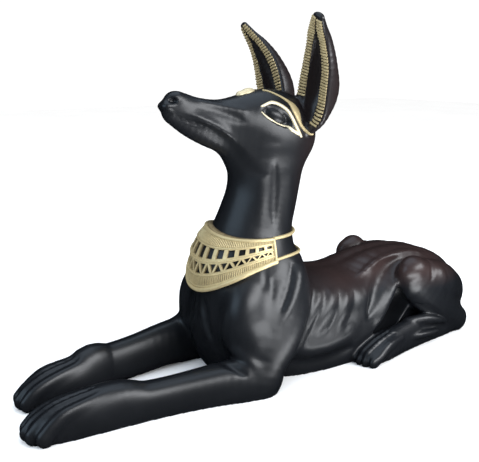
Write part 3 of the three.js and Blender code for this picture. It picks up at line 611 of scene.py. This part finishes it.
def carve_face(clay):
    for side in SIDES:
        press_all(clay, side, FACE_STROKES)
        clay.join(lump([6, -207, 536], [10, 14, 12]), 6, side)
        clay.join(lump([6, -224, 524], [11, 12, 9]), 5, side)
        clay.carve(lump([13, -217, 534], [6, 8, 5]), 2, side)
        clay.carve(line([[-2, -238, 515], [9, -233, 513], [14, -222, 511]], 2.4), 2, side)
        clay.carve(lump([54, -24, 502], [10, 34, 12], [-30, 0, -13]), 3, side)
        clay.join(lump([42, -22, 502], [13, 24, 14], [-30, 0, -13]), 1, side)


def add_tail(clay):
    clay.join(limb([
        [-135, 300, 8, 9, 10],
        [-136, 360, 11, 11, 12],
        [-128, 430, 14, 13, 14],
        [-100, 490, 24, 14, 16],
        [-50, 512, 48, 15, 18],
        [-10, 500, 80, 16, 20],
    ]), 10)


def skin(clay):
    """The clay's surface as points and quads: one point in each cell that the surface crosses."""
    field = clay.field
    inside = field < 0
    count = np.array(field.shape) - 1
    corners = {o: tuple(slice(o[i], o[i] + count[i]) for i in range(3)) for o in np.ndindex(2, 2, 2)}
    full = sum(inside[cut].astype(np.int8) for cut in corners.values())
    mixed = (full > 0) & (full < 8)
    cells = np.argwhere(mixed)
    index = np.full(count, -1, np.int64)
    index[mixed] = np.arange(len(cells))
    values = {o: field[cut][mixed].astype(float) for o, cut in corners.items()}
    total = np.zeros((len(cells), 3))
    hits = np.zeros(len(cells))
    for axis in range(3):
        for o in corners:
            if o[axis]:
                continue
            a, b = values[o], values[tuple(1 if i == axis else o[i] for i in range(3))]
            crossed = (a < 0) != (b < 0)
            t = np.where(crossed, a / np.where(crossed, a - b, 1), 0)
            for i in range(3):
                total[:, i] += np.where(crossed, o[i] + (t if i == axis else 0), 0)
            hits += crossed
    points = clay.low + clay.cell * (cells + total / hits[:, None])
    quads = []
    for axis in range(3):
        u, v = (axis + 1) % 3, (axis + 2) % 3
        lower, upper = [slice(None)] * 3, [slice(None)] * 3
        lower[axis], upper[axis] = slice(0, -1), slice(1, None)
        for cut in (lower, upper):
            cut[u] = cut[v] = slice(1, -1)
        start = inside[tuple(lower)]
        change = np.argwhere(start != inside[tuple(upper)])
        outward = start[tuple(change.T)]
        base = change.copy()
        base[:, u] += 1
        base[:, v] += 1
        ring = []
        for du, dv in ((-1, -1), (0, -1), (0, 0), (-1, 0)):
            cell = base.copy()
            cell[:, u] += du
            cell[:, v] += dv
            ring.append(index[tuple(cell.T)])
        quad = np.stack(ring, 1)
        quad[~outward] = quad[~outward][:, ::-1]
        quads += quad.tolist()
    return points, quads


def make_object(name, points, faces, smooth=True, edges=()):
    """points in metres, in the statue's own frame."""
    mesh = bpy.data.meshes.new(name)
    mesh.from_pydata(points, edges, faces)
    mesh.validate()
    mesh.polygons.foreach_set("use_smooth", np.full(len(mesh.polygons), smooth))
    made = bpy.data.objects.new(name, mesh)
    bpy.context.scene.collection.objects.link(made)
    return made


def finished(made):
    """The object with its modifiers worked into its mesh."""
    graph = bpy.context.evaluated_depsgraph_get()
    graph.update()
    mesh = bpy.data.meshes.new_from_object(made.evaluated_get(graph))
    made.modifiers.clear()
    made.data = mesh
    return made


clay = Clay(ROOM, CELL)
for side in SIDES:
    add_ear(clay, side)
add_head(clay)
add_neck(clay)
add_trunk(clay)
for side in SIDES:
    carve_flank(clay, side)
    add_foreleg(clay, side)
    add_hind_leg(clay, side)
carve_body(clay)
for side in SIDES:
    press_all(clay, side, NECK_STROKES)
carve_face(clay)
add_tail(clay)
# Cut flat where it stands on the ground
clay.field = np.maximum(clay.field, -clay.axes[2])


# Collar: a broad openwork plate on the breast, part of the same casting, held by two cords round the
# neck. It stands proud of the body; its windows are left black and the rest is gilded. Angles are
# signed degrees round the neck from the front, more than 0 on the animal's left.

COLLAR_AXIS = -30
COLLAR_ROOM = ([-115, -190, 165], [115, 90, 305])
PLATE_END = 77
PLATE_INSET = 2
DEGREE_LENGTH = 1.5
COLLAR_RELIEF = 7
COLLAR_SWELL = 11
WINDOW_DEPTH = 5


def collar_top(angle):
    """The upper edge is highest a little to the right of the middle."""
    return 281 + 16 * np.exp(-(((angle + 22) / 42) ** 2))


def collar_foot(angle):
    return 242 - 62 * np.exp(-((angle / 44.5) ** 2))


def collar_thickness(angle, z):
    """How far the plate stands out; it swells toward the middle of the breast."""
    share = np.clip((collar_top(angle) - z) / (collar_top(angle) - collar_foot(angle)), 0, 1)
    return COLLAR_RELIEF + COLLAR_SWELL * np.sin(np.pi * share**0.72) * np.exp(-((angle / 50) ** 2))


bare_clay = clay.field.copy()
cut = clay.window(*COLLAR_ROOM)
x, y, z = clay.grid(cut)
angle = np.degrees(np.arctan2(x, COLLAR_AXIS - y)) + 0 * z
past_edge = -np.minimum(
    np.minimum(collar_top(angle) - PLATE_INSET - z, z - collar_foot(angle) - PLATE_INSET),
    DEGREE_LENGTH * (PLATE_END - np.abs(angle)) - PLATE_INSET,
)
bed = np.maximum(clay.field[cut] - collar_thickness(angle, z) + WINDOW_DEPTH, past_edge)
clay.field[cut] = np.minimum(clay.field[cut], bed)


# Skin of the casting: the clay's surface as one mesh, with points near the ground set on it. It is
# moved so that the front of the paws is where the CAD part's is, and thinned.

NEAR_GROUND = 1.2
TRIANGLES = 195000

points, quads = skin(clay)
points = clay.settle(points, 2)
points[points[:, 2] < NEAR_GROUND, 2] = 0
shift = np.array([0, 1e3 * cad_box[0][1] - points[:, 1].min(), 0])


def to_metres(spots):
    return (np.asarray(spots) + shift) / 1000


casting = make_object("jackal_casting", to_metres(points), quads)
thin = casting.modifiers.new("thin", "DECIMATE")
thin.ratio = min(1.0, TRIANGLES / (2 * len(quads)))
finished(casting)


# Satin black lacquer over the resin: nearly black, with a warm brown reflection painted on the top of the
# back toward the rear. It is sprayed, so the gloss is soft and slightly uneven.


def linear(hex_colour):
    """An sRGB hex value as linear red, green, blue and alpha."""
    parts = [int(hex_colour[i : i + 2], 16) / 255 for i in (1, 3, 5)]
    return [p / 12.92 if p <= 0.04045 else ((p + 0.055) / 1.055) ** 2.4 for p in parts] + [1.0]


def add_node(tree, kind, inputs=None, **settings):
    """A node with its settings; an input is a value or the socket that feeds it."""
    made = tree.nodes.new(kind)
    for name, value in settings.items():
        setattr(made, name, value)
    for name, value in (inputs or {}).items():
        if isinstance(value, bpy.types.NodeSocket):
            tree.links.new(value, made.inputs[name])
        else:
            made.inputs[name].default_value = value
    return made


def mixed(tree, share, first, second):
    """The socket of a colour that goes from the first to the second with share."""
    inputs = {0: share, 6: first, 7: second}
    return add_node(tree, "ShaderNodeMix", inputs, data_type="RGBA").outputs[2]


def new_material(name):
    material = bpy.data.materials.new(name)
    material.use_nodes = True
    material.node_tree.nodes.clear()
    return material, material.node_tree


lacquer, tree = new_material("satin_black_lacquer")
place = add_node(tree, "ShaderNodeTexCoord").outputs["Object"]
mottle = add_node(tree, "ShaderNodeTexNoise", {
    "Vector": place, "Scale": 14.0, "Detail": 4.0, "Roughness": 0.6,
})
grain = add_node(tree, "ShaderNodeTexNoise", {"Vector": place, "Scale": 420.0, "Detail": 2.0})
axes = add_node(tree, "ShaderNodeSeparateXYZ", {"Vector": place})
rearward = add_node(tree, "ShaderNodeMapRange", {
    "Value": axes.outputs["Y"], "From Min": 0.0, "From Max": 0.12,
})
upward = add_node(tree, "ShaderNodeMapRange", {
    "Value": axes.outputs["Z"], "From Min": 0.13, "From Max": 0.17,
})
# Share of the painted reflection: the black turns warm brown on the top of the back, toward the rear
painted_reflection_mask = add_node(tree, "ShaderNodeMath", {
    0: rearward.outputs[0], 1: upward.outputs[0],
}, operation="MULTIPLY")
black = mixed(tree, mottle.outputs["Fac"], linear("#0c0e11"), linear("#15171b"))
brown = mixed(tree, painted_reflection_mask.outputs[0], black, linear("#2a1f1e"))
gloss = add_node(tree, "ShaderNodeMapRange", {
    "Value": mottle.outputs["Fac"], "To Min": 0.3, "To Max": 0.42,
})
bump = add_node(tree, "ShaderNodeBump", {
    "Height": grain.outputs["Fac"], "Strength": 0.06, "Distance": 0.0006,
})
shader = add_node(tree, "ShaderNodeBsdfPrincipled", {
    "Base Color": brown, "Roughness": gloss.outputs[0], "Normal": bump.outputs[0], "IOR": 1.5,
    "Specular IOR Level": 0.45,
})
add_node(tree, "ShaderNodeOutputMaterial", {"Surface": shader.outputs[0]})

casting.data.materials.clear()
casting.data.materials.append(lacquer)
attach(casting, "root")
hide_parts("jackal")


# Antique gold paint on the relief: pale brass over dark umber left in the hollows, as toning and painted
# shade.
# Over 1 it goes paler toward cream, a painted highlight on the eye rims. How much shows is on the points.

gilt, tree = new_material("antique_gold_paint")
place = add_node(tree, "ShaderNodeTexCoord").outputs["Object"]
patch = add_node(tree, "ShaderNodeTexNoise", {
    "Vector": place, "Scale": 90.0, "Detail": 4.0, "Roughness": 0.65,
})
gilt_shade_highlight_node = add_node(tree, "ShaderNodeAttribute", attribute_name="gilt_shade_highlight")
uneven = add_node(tree, "ShaderNodeMath", {0: patch.outputs["Fac"], 1: 0.5}, operation="SUBTRACT")
shown = add_node(tree, "ShaderNodeMath", {
    0: uneven.outputs[0], 1: 0.9, 2: gilt_shade_highlight_node.outputs["Fac"],
}, operation="MULTIPLY_ADD", use_clamp=True)
painted_highlight_share = add_node(tree, "ShaderNodeMath", {
    0: gilt_shade_highlight_node.outputs["Fac"], 1: 1.0,
}, operation="SUBTRACT", use_clamp=True)
brass = mixed(tree, shown.outputs[0], linear("#4f4028"), linear("#c9b88c"))
cream = mixed(tree, painted_highlight_share.outputs[0], brass, linear("#efe7cf"))
metal = add_node(tree, "ShaderNodeMapRange", {"Value": shown.outputs[0], "To Min": 0.1, "To Max": 0.55})
gloss = add_node(tree, "ShaderNodeMapRange", {"Value": shown.outputs[0], "To Min": 0.6, "To Max": 0.42})
shader = add_node(tree, "ShaderNodeBsdfPrincipled", {
    "Base Color": cream, "Metallic": metal.outputs[0], "Roughness": gloss.outputs[0],
})
add_node(tree, "ShaderNodeOutputMaterial", {"Surface": shader.outputs[0]})


def set_gilt_shade_highlight(made, amount):
    """How much of the gold shows: 0 in the hollows, as toning and painted shade, 1 on what stands proud,
    and over 1 paler toward cream, a painted highlight.
    """
    amounts = np.broadcast_to(np.asarray(amount, np.float32), len(made.data.vertices)).copy()
    made.data.attributes.new("gilt_shade_highlight", "FLOAT", "POINT").data.foreach_set("value", amounts)


def gild(piece):
    piece.data.materials.clear()
    piece.data.materials.append(gilt)
    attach(piece, "root")


# Gilded plate of the collar: rails and bars round a row of upright windows and a row of triangles. Its
# faces are laid out in degrees round the neck and shares of the way down, then set on the breast.

WINDOW_PITCH = 9.3
WINDOWS_EACH_SIDE = 8
TOP_RAIL, MIDDLE_RAIL, LOW_RAIL = 0.2, 0.46, 0.71
NEAREST, FARTHEST = 40.0, 170.0
TO_BODY = -99
EDGE_WIDTH = 0.0006


def collar_spot(angle, share, lift):
    """Points on the collar at an angle and a share of the way down, lifted out by millimetres."""
    angle, share, lift = np.broadcast_arrays(np.asarray(angle, float), share, lift)
    top, foot = collar_top(angle), collar_foot(angle)
    z = top + (foot - top) * share
    turn = np.radians(angle)
    target = np.maximum(collar_thickness(angle, z) + lift, -1)
    near, far = np.full(angle.shape, NEAREST), np.full(angle.shape, FARTHEST)

    def at(reach):
        return np.stack([reach * np.sin(turn), COLLAR_AXIS - reach * np.cos(turn), z], -1)

    dressed, clay.field = clay.field, bare_clay
    for _ in range(18):
        middle = (near + far) / 2
        inner = clay.sample(at(middle).reshape(-1, 3)).reshape(angle.shape) < target
        near, far = np.where(inner, middle, near), np.where(inner, far, middle)
    clay.field = dressed
    return at(far)


class Sheet:
    """Faces laid out in degrees and shares of height, with points in common merged."""

    def __init__(self):
        self.index = {}
        self.spots = []
        self.faces = []

    def point(self, angle, share, lift):
        key = (round(angle, 4), round(share, 5), round(lift, 3))
        if key not in self.index:
            self.index[key] = len(self.spots)
            self.spots.append(key)
        return self.index[key]

    def frame(self, outer, inner, steps=4):
        """A flat frame between two outlines of as many corners, with walls down inside it."""
        for k in range(len(outer)):
            next_k = (k + 1) % len(outer)
            edges = []
            for outline in (outer, inner):
                a, b = np.array(outline[k]), np.array(outline[next_k])
                edges.append([a + (b - a) * t / steps for t in range(steps + 1)])
            for i in range(steps):
                a, b = edges[0][i], edges[0][i + 1]
                c, d = edges[1][i + 1], edges[1][i]
                self.faces.append([self.point(*spot, 0) for spot in (a, b, c, d)])
                rim = [self.point(*spot, 0) for spot in (d, c)]
                self.faces.append(rim + [self.point(*spot, -WINDOW_DEPTH - 1) for spot in (c, d)])

    def strip(self, left, right, high, low, rows=3, steps=4):
        for i in range(steps):
            for j in range(rows):
                a0, a1 = left + (right - left) * i / steps, left + (right - left) * (i + 1) / steps
                s0, s1 = high + (low - high) * j / rows, high + (low - high) * (j + 1) / rows
                corners = (a0, s1), (a1, s1), (a1, s0), (a0, s0)
                self.faces.append([self.point(*spot, 0) for spot in corners])


sheet = Sheet()
half = 0.33 * WINDOW_PITCH
for i in range(-WINDOWS_EACH_SIDE, WINDOWS_EACH_SIDE):
    left, right = i * WINDOW_PITCH, (i + 1) * WINDOW_PITCH
    middle = (left + right) / 2
    narrowing = 0.05 * (abs(i + 0.5) - 0.5) / WINDOWS_EACH_SIDE
    sheet.strip(left, right, 0.0, TOP_RAIL)
    sheet.strip(left, right, LOW_RAIL, 1.0)
    high, low = 0.22 + narrowing, 0.42 - narrowing
    sheet.frame(
        [(left, MIDDLE_RAIL), (right, MIDDLE_RAIL), (right, TOP_RAIL), (left, TOP_RAIL)],
        [(middle - half, low), (middle + half, low), (middle + half, high), (middle - half, high)],
    )
    high, low = 0.5, 0.68 - 1.5 * narrowing
    sheet.frame(
        [(left, LOW_RAIL), (right, LOW_RAIL), (middle, MIDDLE_RAIL)],
        [(middle - half, low), (middle + half, low), (middle, high)],
    )
    if i > -WINDOWS_EACH_SIDE:
        narrowing = 0.05 * abs(i) / WINDOWS_EACH_SIDE
        low = 0.68 - 1.5 * narrowing
        beside = WINDOW_PITCH / 2
        sheet.frame(
            [(left + beside, MIDDLE_RAIL), (left - beside, MIDDLE_RAIL), (left, LOW_RAIL)],
            [(left + half, high), (left - half, high), (left, low)],
        )
for side in SIDES:
    edge = side * WINDOWS_EACH_SIDE * WINDOW_PITCH
    apex = edge - side * WINDOW_PITCH / 2
    corners = [(edge, MIDDLE_RAIL), (apex, MIDDLE_RAIL), (edge, LOW_RAIL)]
    ring = []
    for k in range(3):
        a, b = np.array(corners[k]), np.array(corners[(k + 1) % 3])
        steps = (2, 4, 4)[k]
        ring += [a + (b - a) * t / steps for t in range(steps)]
    sheet.faces.append([sheet.point(*spot, 0) for spot in ring][::side])
    first, last = min(edge, side * PLATE_END), max(edge, side * PLATE_END)
    for high, low, rows in (
        (0.0, TOP_RAIL, 3), (TOP_RAIL, MIDDLE_RAIL, 4), (MIDDLE_RAIL, LOW_RAIL, 4), (LOW_RAIL, 1.0, 3),
    ):
        sheet.strip(first, last, high, low, rows, 1)

# Walls from the outer edge down to the body
sides = dict.fromkeys(pair for face in sheet.faces for pair in zip(face, face[1:] + face[:1]))
for a, b in [pair for pair in sides if pair[::-1] not in sides]:
    spots = sheet.spots[a], sheet.spots[b]
    outermost = all(abs(spot[0]) > PLATE_END - 0.01 or spot[1] in (0, 1) for spot in spots)
    if outermost and min(spot[2] for spot in spots) == 0:
        walls = [sheet.point(angle, share, TO_BODY) for angle, share, _ in spots]
        sheet.faces.append([b, a, walls[0], walls[1]])

spots = np.array(sheet.spots)
plate = make_object("collar_plate", to_metres(collar_spot(*spots.T)), sheet.faces, False)
share, lift = spots[:, 1], spots[:, 2]
ribbed = (share < TOP_RAIL - 0.01) | ((share > LOW_RAIL + 0.01) & (share < 0.95))
# Walls down into the windows and to the body get 0, and the bands under the fine ribs 0.3: their dark umber
# is toning and painted shade
set_gilt_shade_highlight(plate, np.where(lift < 0, 0.0, np.where(ribbed, 0.3, 0.85)))
edge = plate.modifiers.new("edge", "BEVEL")
edge.width = EDGE_WIDTH
edge.segments = 2
edge.limit_method = "ANGLE"
finished(plate)


# Cords, rails and fine ribs of the collar, each a round bar partly sunk in what it lies on. Radii are in
# millimetres, and each rail is its share of the way down the plate and its radius.

RIB_PITCH = 1.7
RIB_RADIUS = 1.25
RIB_ROWS = ((0.045, 0.185), (0.735, 0.885))
RAILS = ((0.205, 1.6), (0.46, 1.5), (0.705, 1.6), (0.905, 1.8))
END_BAR_RADIUS = 3.4
FOOT_BAR_RADIUS = 4.6
CORD_RADII = (3.4, 3.0)
CORD_SUNK = -4.5


def bar_tree():
    """Round bars along the edges of a mesh; the thickness of each point is in metres."""
    tree = bpy.data.node_groups.new("bars", "GeometryNodeTree")
    tree.interface.new_socket("Paths", in_out="INPUT", socket_type="NodeSocketGeometry")
    sides = tree.interface.new_socket("Sides", in_out="INPUT", socket_type="NodeSocketInt")
    sides.default_value = 8
    tree.interface.new_socket("Paint", in_out="INPUT", socket_type="NodeSocketMaterial")
    tree.interface.new_socket("Bars", in_out="OUTPUT", socket_type="NodeSocketGeometry")
    given = add_node(tree, "NodeGroupInput")
    curve = add_node(tree, "GeometryNodeMeshToCurve", {"Mesh": given.outputs["Paths"]})
    thick = add_node(tree, "GeometryNodeInputNamedAttribute", {"Name": "thick"}, data_type="FLOAT")
    ring = add_node(tree, "GeometryNodeCurvePrimitiveCircle", {
        "Resolution": given.outputs["Sides"], "Radius": 1.0,
    })
    bars = add_node(tree, "GeometryNodeCurveToMesh", {
        "Curve": curve.outputs[0], "Profile Curve": ring.outputs[0], "Scale": thick.outputs[0],
        "Fill Caps": True,
    })
    bars = add_node(tree, "GeometryNodeSetShadeSmooth", {"Geometry": bars.outputs[0]})
    bars = add_node(tree, "GeometryNodeRealizeInstances", {"Geometry": bars.outputs[0]})
    bars = add_node(tree, "GeometryNodeSetMaterial", {
        "Geometry": bars.outputs[0], "Material": given.outputs["Paint"],
    })
    add_node(tree, "NodeGroupOutput", {"Bars": bars.outputs[0]})
    return tree


BARS = bar_tree()


def make_bars(name, paths, sides):
    """paths: lists of (points in clay millimetres, radius, closed or not)."""
    points, edges, thick = [], [], []
    for path, radius, closed in paths:
        first = len(points)
        points += list(to_metres(path))
        thick += [radius / 1000] * len(path)
        edges += [(first + i, first + i + 1) for i in range(len(path) - 1)]
        if closed:
            edges.append((first + len(path) - 1, first))
    made = make_object(name, points, [], edges=edges)
    made.data.attributes.new("thick", "FLOAT", "POINT").data.foreach_set("value", thick)
    bars = made.modifiers.new("bars", "NODES")
    bars.node_group = BARS
    given = {"Sides": sides, "Paint": gilt}
    for socket in BARS.interface.items_tree:
        if socket.in_out == "INPUT" and socket.name in given:
            bars[socket.identifier] = given[socket.name]
    return finished(made)


front = np.linspace(-PLATE_END, PLATE_END, 90)
rib_angles = np.arange(-PLATE_END + 2, PLATE_END - 1, RIB_PITCH)
fine = []
for high, low in RIB_ROWS:
    shares = np.linspace(high, low, 5)
    ribs = collar_spot(rib_angles[:, None], shares[None, :], 0.1)
    fine += [(rib, RIB_RADIUS, False) for rib in ribs]
fine_ribs = make_bars("collar_fine_ribs", fine, 6)
set_gilt_shade_highlight(fine_ribs, 0.85)

rails = [(collar_spot(front, share, 0.2), radius, False) for share, radius in RAILS]
for side in SIDES:
    end_bar = collar_spot(side * (PLATE_END - 1), np.linspace(0.02, 0.98, 24), 0.5)
    rails.append((end_bar, END_BAR_RADIUS, False))
rails.append((collar_spot(front, 0.965, 0.5), FOOT_BAR_RADIUS, False))
collar_rails = make_bars("collar_rails", rails, 12)
set_gilt_shade_highlight(collar_rails, 0.95)

round_neck = np.linspace(-180, 180, 181)[:-1]
back = np.linspace(PLATE_END - 2, 360 - PLATE_END + 2, 110)
back = np.where(back > 180, back - 360, back)
lifts = np.where(np.abs(round_neck) < PLATE_END, 0.8, CORD_SUNK)
cords = [
    (collar_spot(round_neck, 0.03, lifts), CORD_RADII[0], True),
    (collar_spot(back, 0.93, CORD_SUNK), CORD_RADII[1], False),
]
neck_cords = make_bars("collar_cords", cords, 12)
set_gilt_shade_highlight(neck_cords, 0.9)

for piece in (plate, fine_ribs, collar_rails, neck_cords):
    gild(piece)


# Ears: the flat faces turned forward are gilded in fine crosswise ribs either side of the dark hollow.
# The inner band, end -1, starts higher than the outer one, end 1, clear of the top of the head.

EAR_RIB_SPACING = 5.4
EAR_RIB_RADIUS = 2.3
BAND_START = {-1: 32, 1: 14}
BEFORE_EAR = 26
LARGEST_JUMP = 7


def forward_hit(spots, reach=60, step=1.5):
    """Where straight lines from spots towards +Y first meet the clay."""
    spots = np.asarray(spots, float).copy()
    hit = np.zeros(len(spots), bool)
    for _ in range(int(reach / step)):
        hit |= clay.sample(spots) < 0
        spots[~hit, 1] += step
    spots[hit, 1] -= step / 2
    for _ in range(3):
        spots[:, 1] += np.clip(clay.sample(spots), -step, step)
    return spots


def ear_band(side, end):
    """One gilded band: distances up the ear, and points on its edges by the hollow and by the rim."""
    face = smooth_rows(ear_stations(side, EAR_HALF_WIDTH - EAR_RIM, 6, 6, 0), 8)
    groove = smooth_rows(hollow_stations(side, 6, 6, 0), 8)
    run = np.cumsum([0, *np.linalg.norm(np.diff(face[:, :3], axis=0), axis=1)])
    along_ear = np.gradient(face[:, :3], axis=0)
    along_ear /= np.linalg.norm(along_ear, axis=1)[:, None]
    across = np.array([1.0, 0, 0]) - along_ear[:, :1] * along_ear
    across /= np.linalg.norm(across, axis=1)[:, None]
    edges = []
    for middle, width in ((groove, groove[:, 3] + 1.0), (face, face[:, 3] - 1.2)):
        edges.append(middle[:, :3] + end * across * width[:, None])
    return run, edges


ear_ribs = []
for side in SIDES:
    for end in (-1, 1):
        run, edges = ear_band(side, end)
        rows = np.arange(BAND_START[end], run[-1] - 3, EAR_RIB_SPACING)
        inner, outer = (
            np.stack([np.interp(rows, run, edge[:, k]) for k in range(3)], 1) for edge in edges
        )
        for a, b in zip(inner, outer):
            path = a + (b - a) * np.linspace(0, 1, 7)[:, None]
            path[:, 1] -= BEFORE_EAR
            path[:, 0] *= side
            path = forward_hit(path)
            if np.abs(np.diff(path[:, 1])).max() < LARGEST_JUMP:
                ear_ribs.append((path, EAR_RIB_RADIUS, False))
ear_gold = make_bars("ear_ribs", ear_ribs, 8)
set_gilt_shade_highlight(ear_gold, 0.6)
gild(ear_gold)


# Eye rims and circlet: gilded lines raised on the face. Each has a path over the left side, half
# widths at its points and a rise, in millimetres, and is mirrored to the right.


def ribbon(path, half_widths, rise):
    """A rounded band laid on the clay along a path, wider or narrower from point to point."""
    rows = smooth_rows([[*point, wide] for point, wide in zip(path, half_widths)], 6)
    spots = clay.settle(rows[:, :3], 4)
    tangent = np.gradient(spots, axis=0)
    normal = clay.slope(spots)
    aside = np.cross(normal, tangent)
    aside /= np.linalg.norm(aside, axis=1)[:, None]
    ring = []
    for u in np.linspace(-1, 1, 9):
        edge = clay.settle(spots + u * aside * rows[:, 3:4], 3)
        lift = np.minimum(rise, rows[:, 3:4]) * math.sqrt(max(1 - u * u, 0)) - 0.4
        slope = clay.slope(edge)
        ring.append(edge + lift * slope / np.linalg.norm(slope, axis=1)[:, None])
    ring.append(spots - 1.5 * normal / np.linalg.norm(normal, axis=1)[:, None])
    ring = np.stack(ring, 1)
    n, m = ring.shape[:2]
    faces = [
        [i * m + j, i * m + (j + 1) % m, (i + 1) * m + (j + 1) % m, (i + 1) * m + j]
        for i in range(n - 1) for j in range(m)
    ]
    faces += [list(range(m))[::-1], [(n - 1) * m + j for j in range(m)]]
    return ring.reshape(-1, 3), faces


def mirrored_pair(points, faces):
    flipped = [[len(points) + i for i in face[::-1]] for face in faces]
    return np.vstack([points, points * [-1, 1, 1]]), faces + flipped


UPPER_LID = [
    (39, -52, 519), (39, -41, 522), (40, -26, 525), (45, -12, 520), (52, 0, 511),
    (57, 7, 498), (60, 12, 487), (63, 20, 472), (63, 26, 462),
]
LOWER_LID = [
    (44, -54, 510), (50, -43, 498), (52, -23, 488), (55, -7, 481), (61, 6, 475), (63, 22, 467),
]
CIRCLET = [
    (11, -28, 544), (15, -22, 542), (27, -10, 537), (36.5, 1, 532), (42, 9, 526),
    (48, 16, 519), (55, 20, 508), (60, 24, 488), (63, 34, 475), (72, 48, 464),
]
lines = {
    "eye_upper_rims": (UPPER_LID, [1.5, 2.8, 3.6, 3.8, 3.8, 3.8, 4.0, 4.0, 2.4], 2.8),
    "eye_lower_rims": (LOWER_LID, [1.4, 2.6, 3.2, 3.4, 3.6, 3.2], 2.6),
    "circlet": (CIRCLET, [2.2, 2.2, 2.4, 2.8, 4.2, 8, 9, 4.2, 3.3, 3.3], 2.6),
}
for name, (path, widths, rise) in lines.items():
    band, faces = mirrored_pair(*ribbon(path, widths, rise))
    made = make_object(name, to_metres(band), faces)
    # The eye rims get more than 1, which paints them paler toward cream as a highlight
    set_gilt_shade_highlight(made, 0.75 if name == "circlet" else 1.5)
    gild(made)


# Ornament on the brow, a small rounded and worn one, where the circlet begins. It is sculpted in a
# block of clay of its own, with a finer grid.

ORNAMENT_ROOM = ((-24, -96, 505), (24, -16, 566))
ORNAMENT_CELL = 1.0

ornament = Clay(ORNAMENT_ROOM, ORNAMENT_CELL)
ornament.join(lump([0, -54, 539], [11, 19, 13], [14, 0, 0]))
ornament.join(lump([0, -70, 538], [8, 9, 9]), 4)
ornament_points, ornament_quads = skin(ornament)
hood = make_object("brow_ornament", to_metres(ornament_points), ornament_quads)
set_gilt_shade_highlight(hood, 1.3)
gild(hood)


# Studio: a plain white floor under large soft lights, and a low card by the flank that lights the ribs
# from below. Floor and world don't show in the black lacquer, which would turn grey.

FLOOR_HALF = 8

floor_mesh = bpy.data.meshes.new("floor")
floor_corners = [(x * FLOOR_HALF, y * FLOOR_HALF, 0) for x, y in ((-1, -1), (1, -1), (1, 1), (-1, 1))]
floor_mesh.from_pydata(floor_corners, [], [(0, 1, 2, 3)])
floor = bpy.data.objects.new("floor", floor_mesh)
bpy.context.scene.collection.objects.link(floor)
paper, tree = new_material("white_paper")
fibre = add_node(tree, "ShaderNodeTexNoise", {"Scale": 30.0})
tint = mixed(tree, fibre.outputs["Fac"], linear("#f6f6f6"), linear("#ffffff"))
shader = add_node(tree, "ShaderNodeBsdfPrincipled", {"Base Color": tint, "Roughness": 0.9})
add_node(tree, "ShaderNodeOutputMaterial", {"Surface": shader.outputs[0]})
floor_mesh.materials.append(paper)
floor.visible_glossy = False

world = bpy.data.worlds.new("studio")
world.use_nodes = True
tree = world.node_tree
tree.nodes.clear()
air = add_node(tree, "ShaderNodeBackground", {"Color": linear("#ffffff"), "Strength": 1.1})
add_node(tree, "ShaderNodeOutputWorld", {"Surface": air.outputs[0]})
world.cycles_visibility.glossy = False
bpy.context.scene.world = world
bpy.context.scene.view_settings.view_transform = "Standard"


def add_light(name, place, target, size, power, colour):
    """A soft rectangular light aimed at target, in metres and watts; the camera doesn't see it."""
    light = bpy.data.lights.new(name, "AREA")
    light.shape = "RECTANGLE"
    light.size, light.size_y = size
    light.energy = power
    light.color = colour
    made = bpy.data.objects.new(name, light)
    made.location = place
    made.visible_camera = False
    aim = np.array(target, float) - np.array(place)
    made.rotation_euler = (math.acos(-aim[2] / np.linalg.norm(aim)), 0, math.atan2(-aim[0], aim[1]))
    bpy.context.scene.collection.objects.link(made)


add_light("window", (2.5, 1.2, 1.45), (0, 0, 0.35), (2.9, 1.3), 112, (0.95, 0.97, 1))
add_light("card", (0.56, 0.18, 0.01), (0.56, 0.19, 1), (0.46, 0.42), 6.5, (0.95, 0.97, 1))
add_light("front", (0.45, -2.7, 1.6), (0, 0, 0.35), (2.6, 2.0), 32, (0.6, 0.8, 1))
add_light("overhead", (0, 0, 2.8), (0, 0.01, 0), (3, 3), 40, (0.72, 0.85, 1))
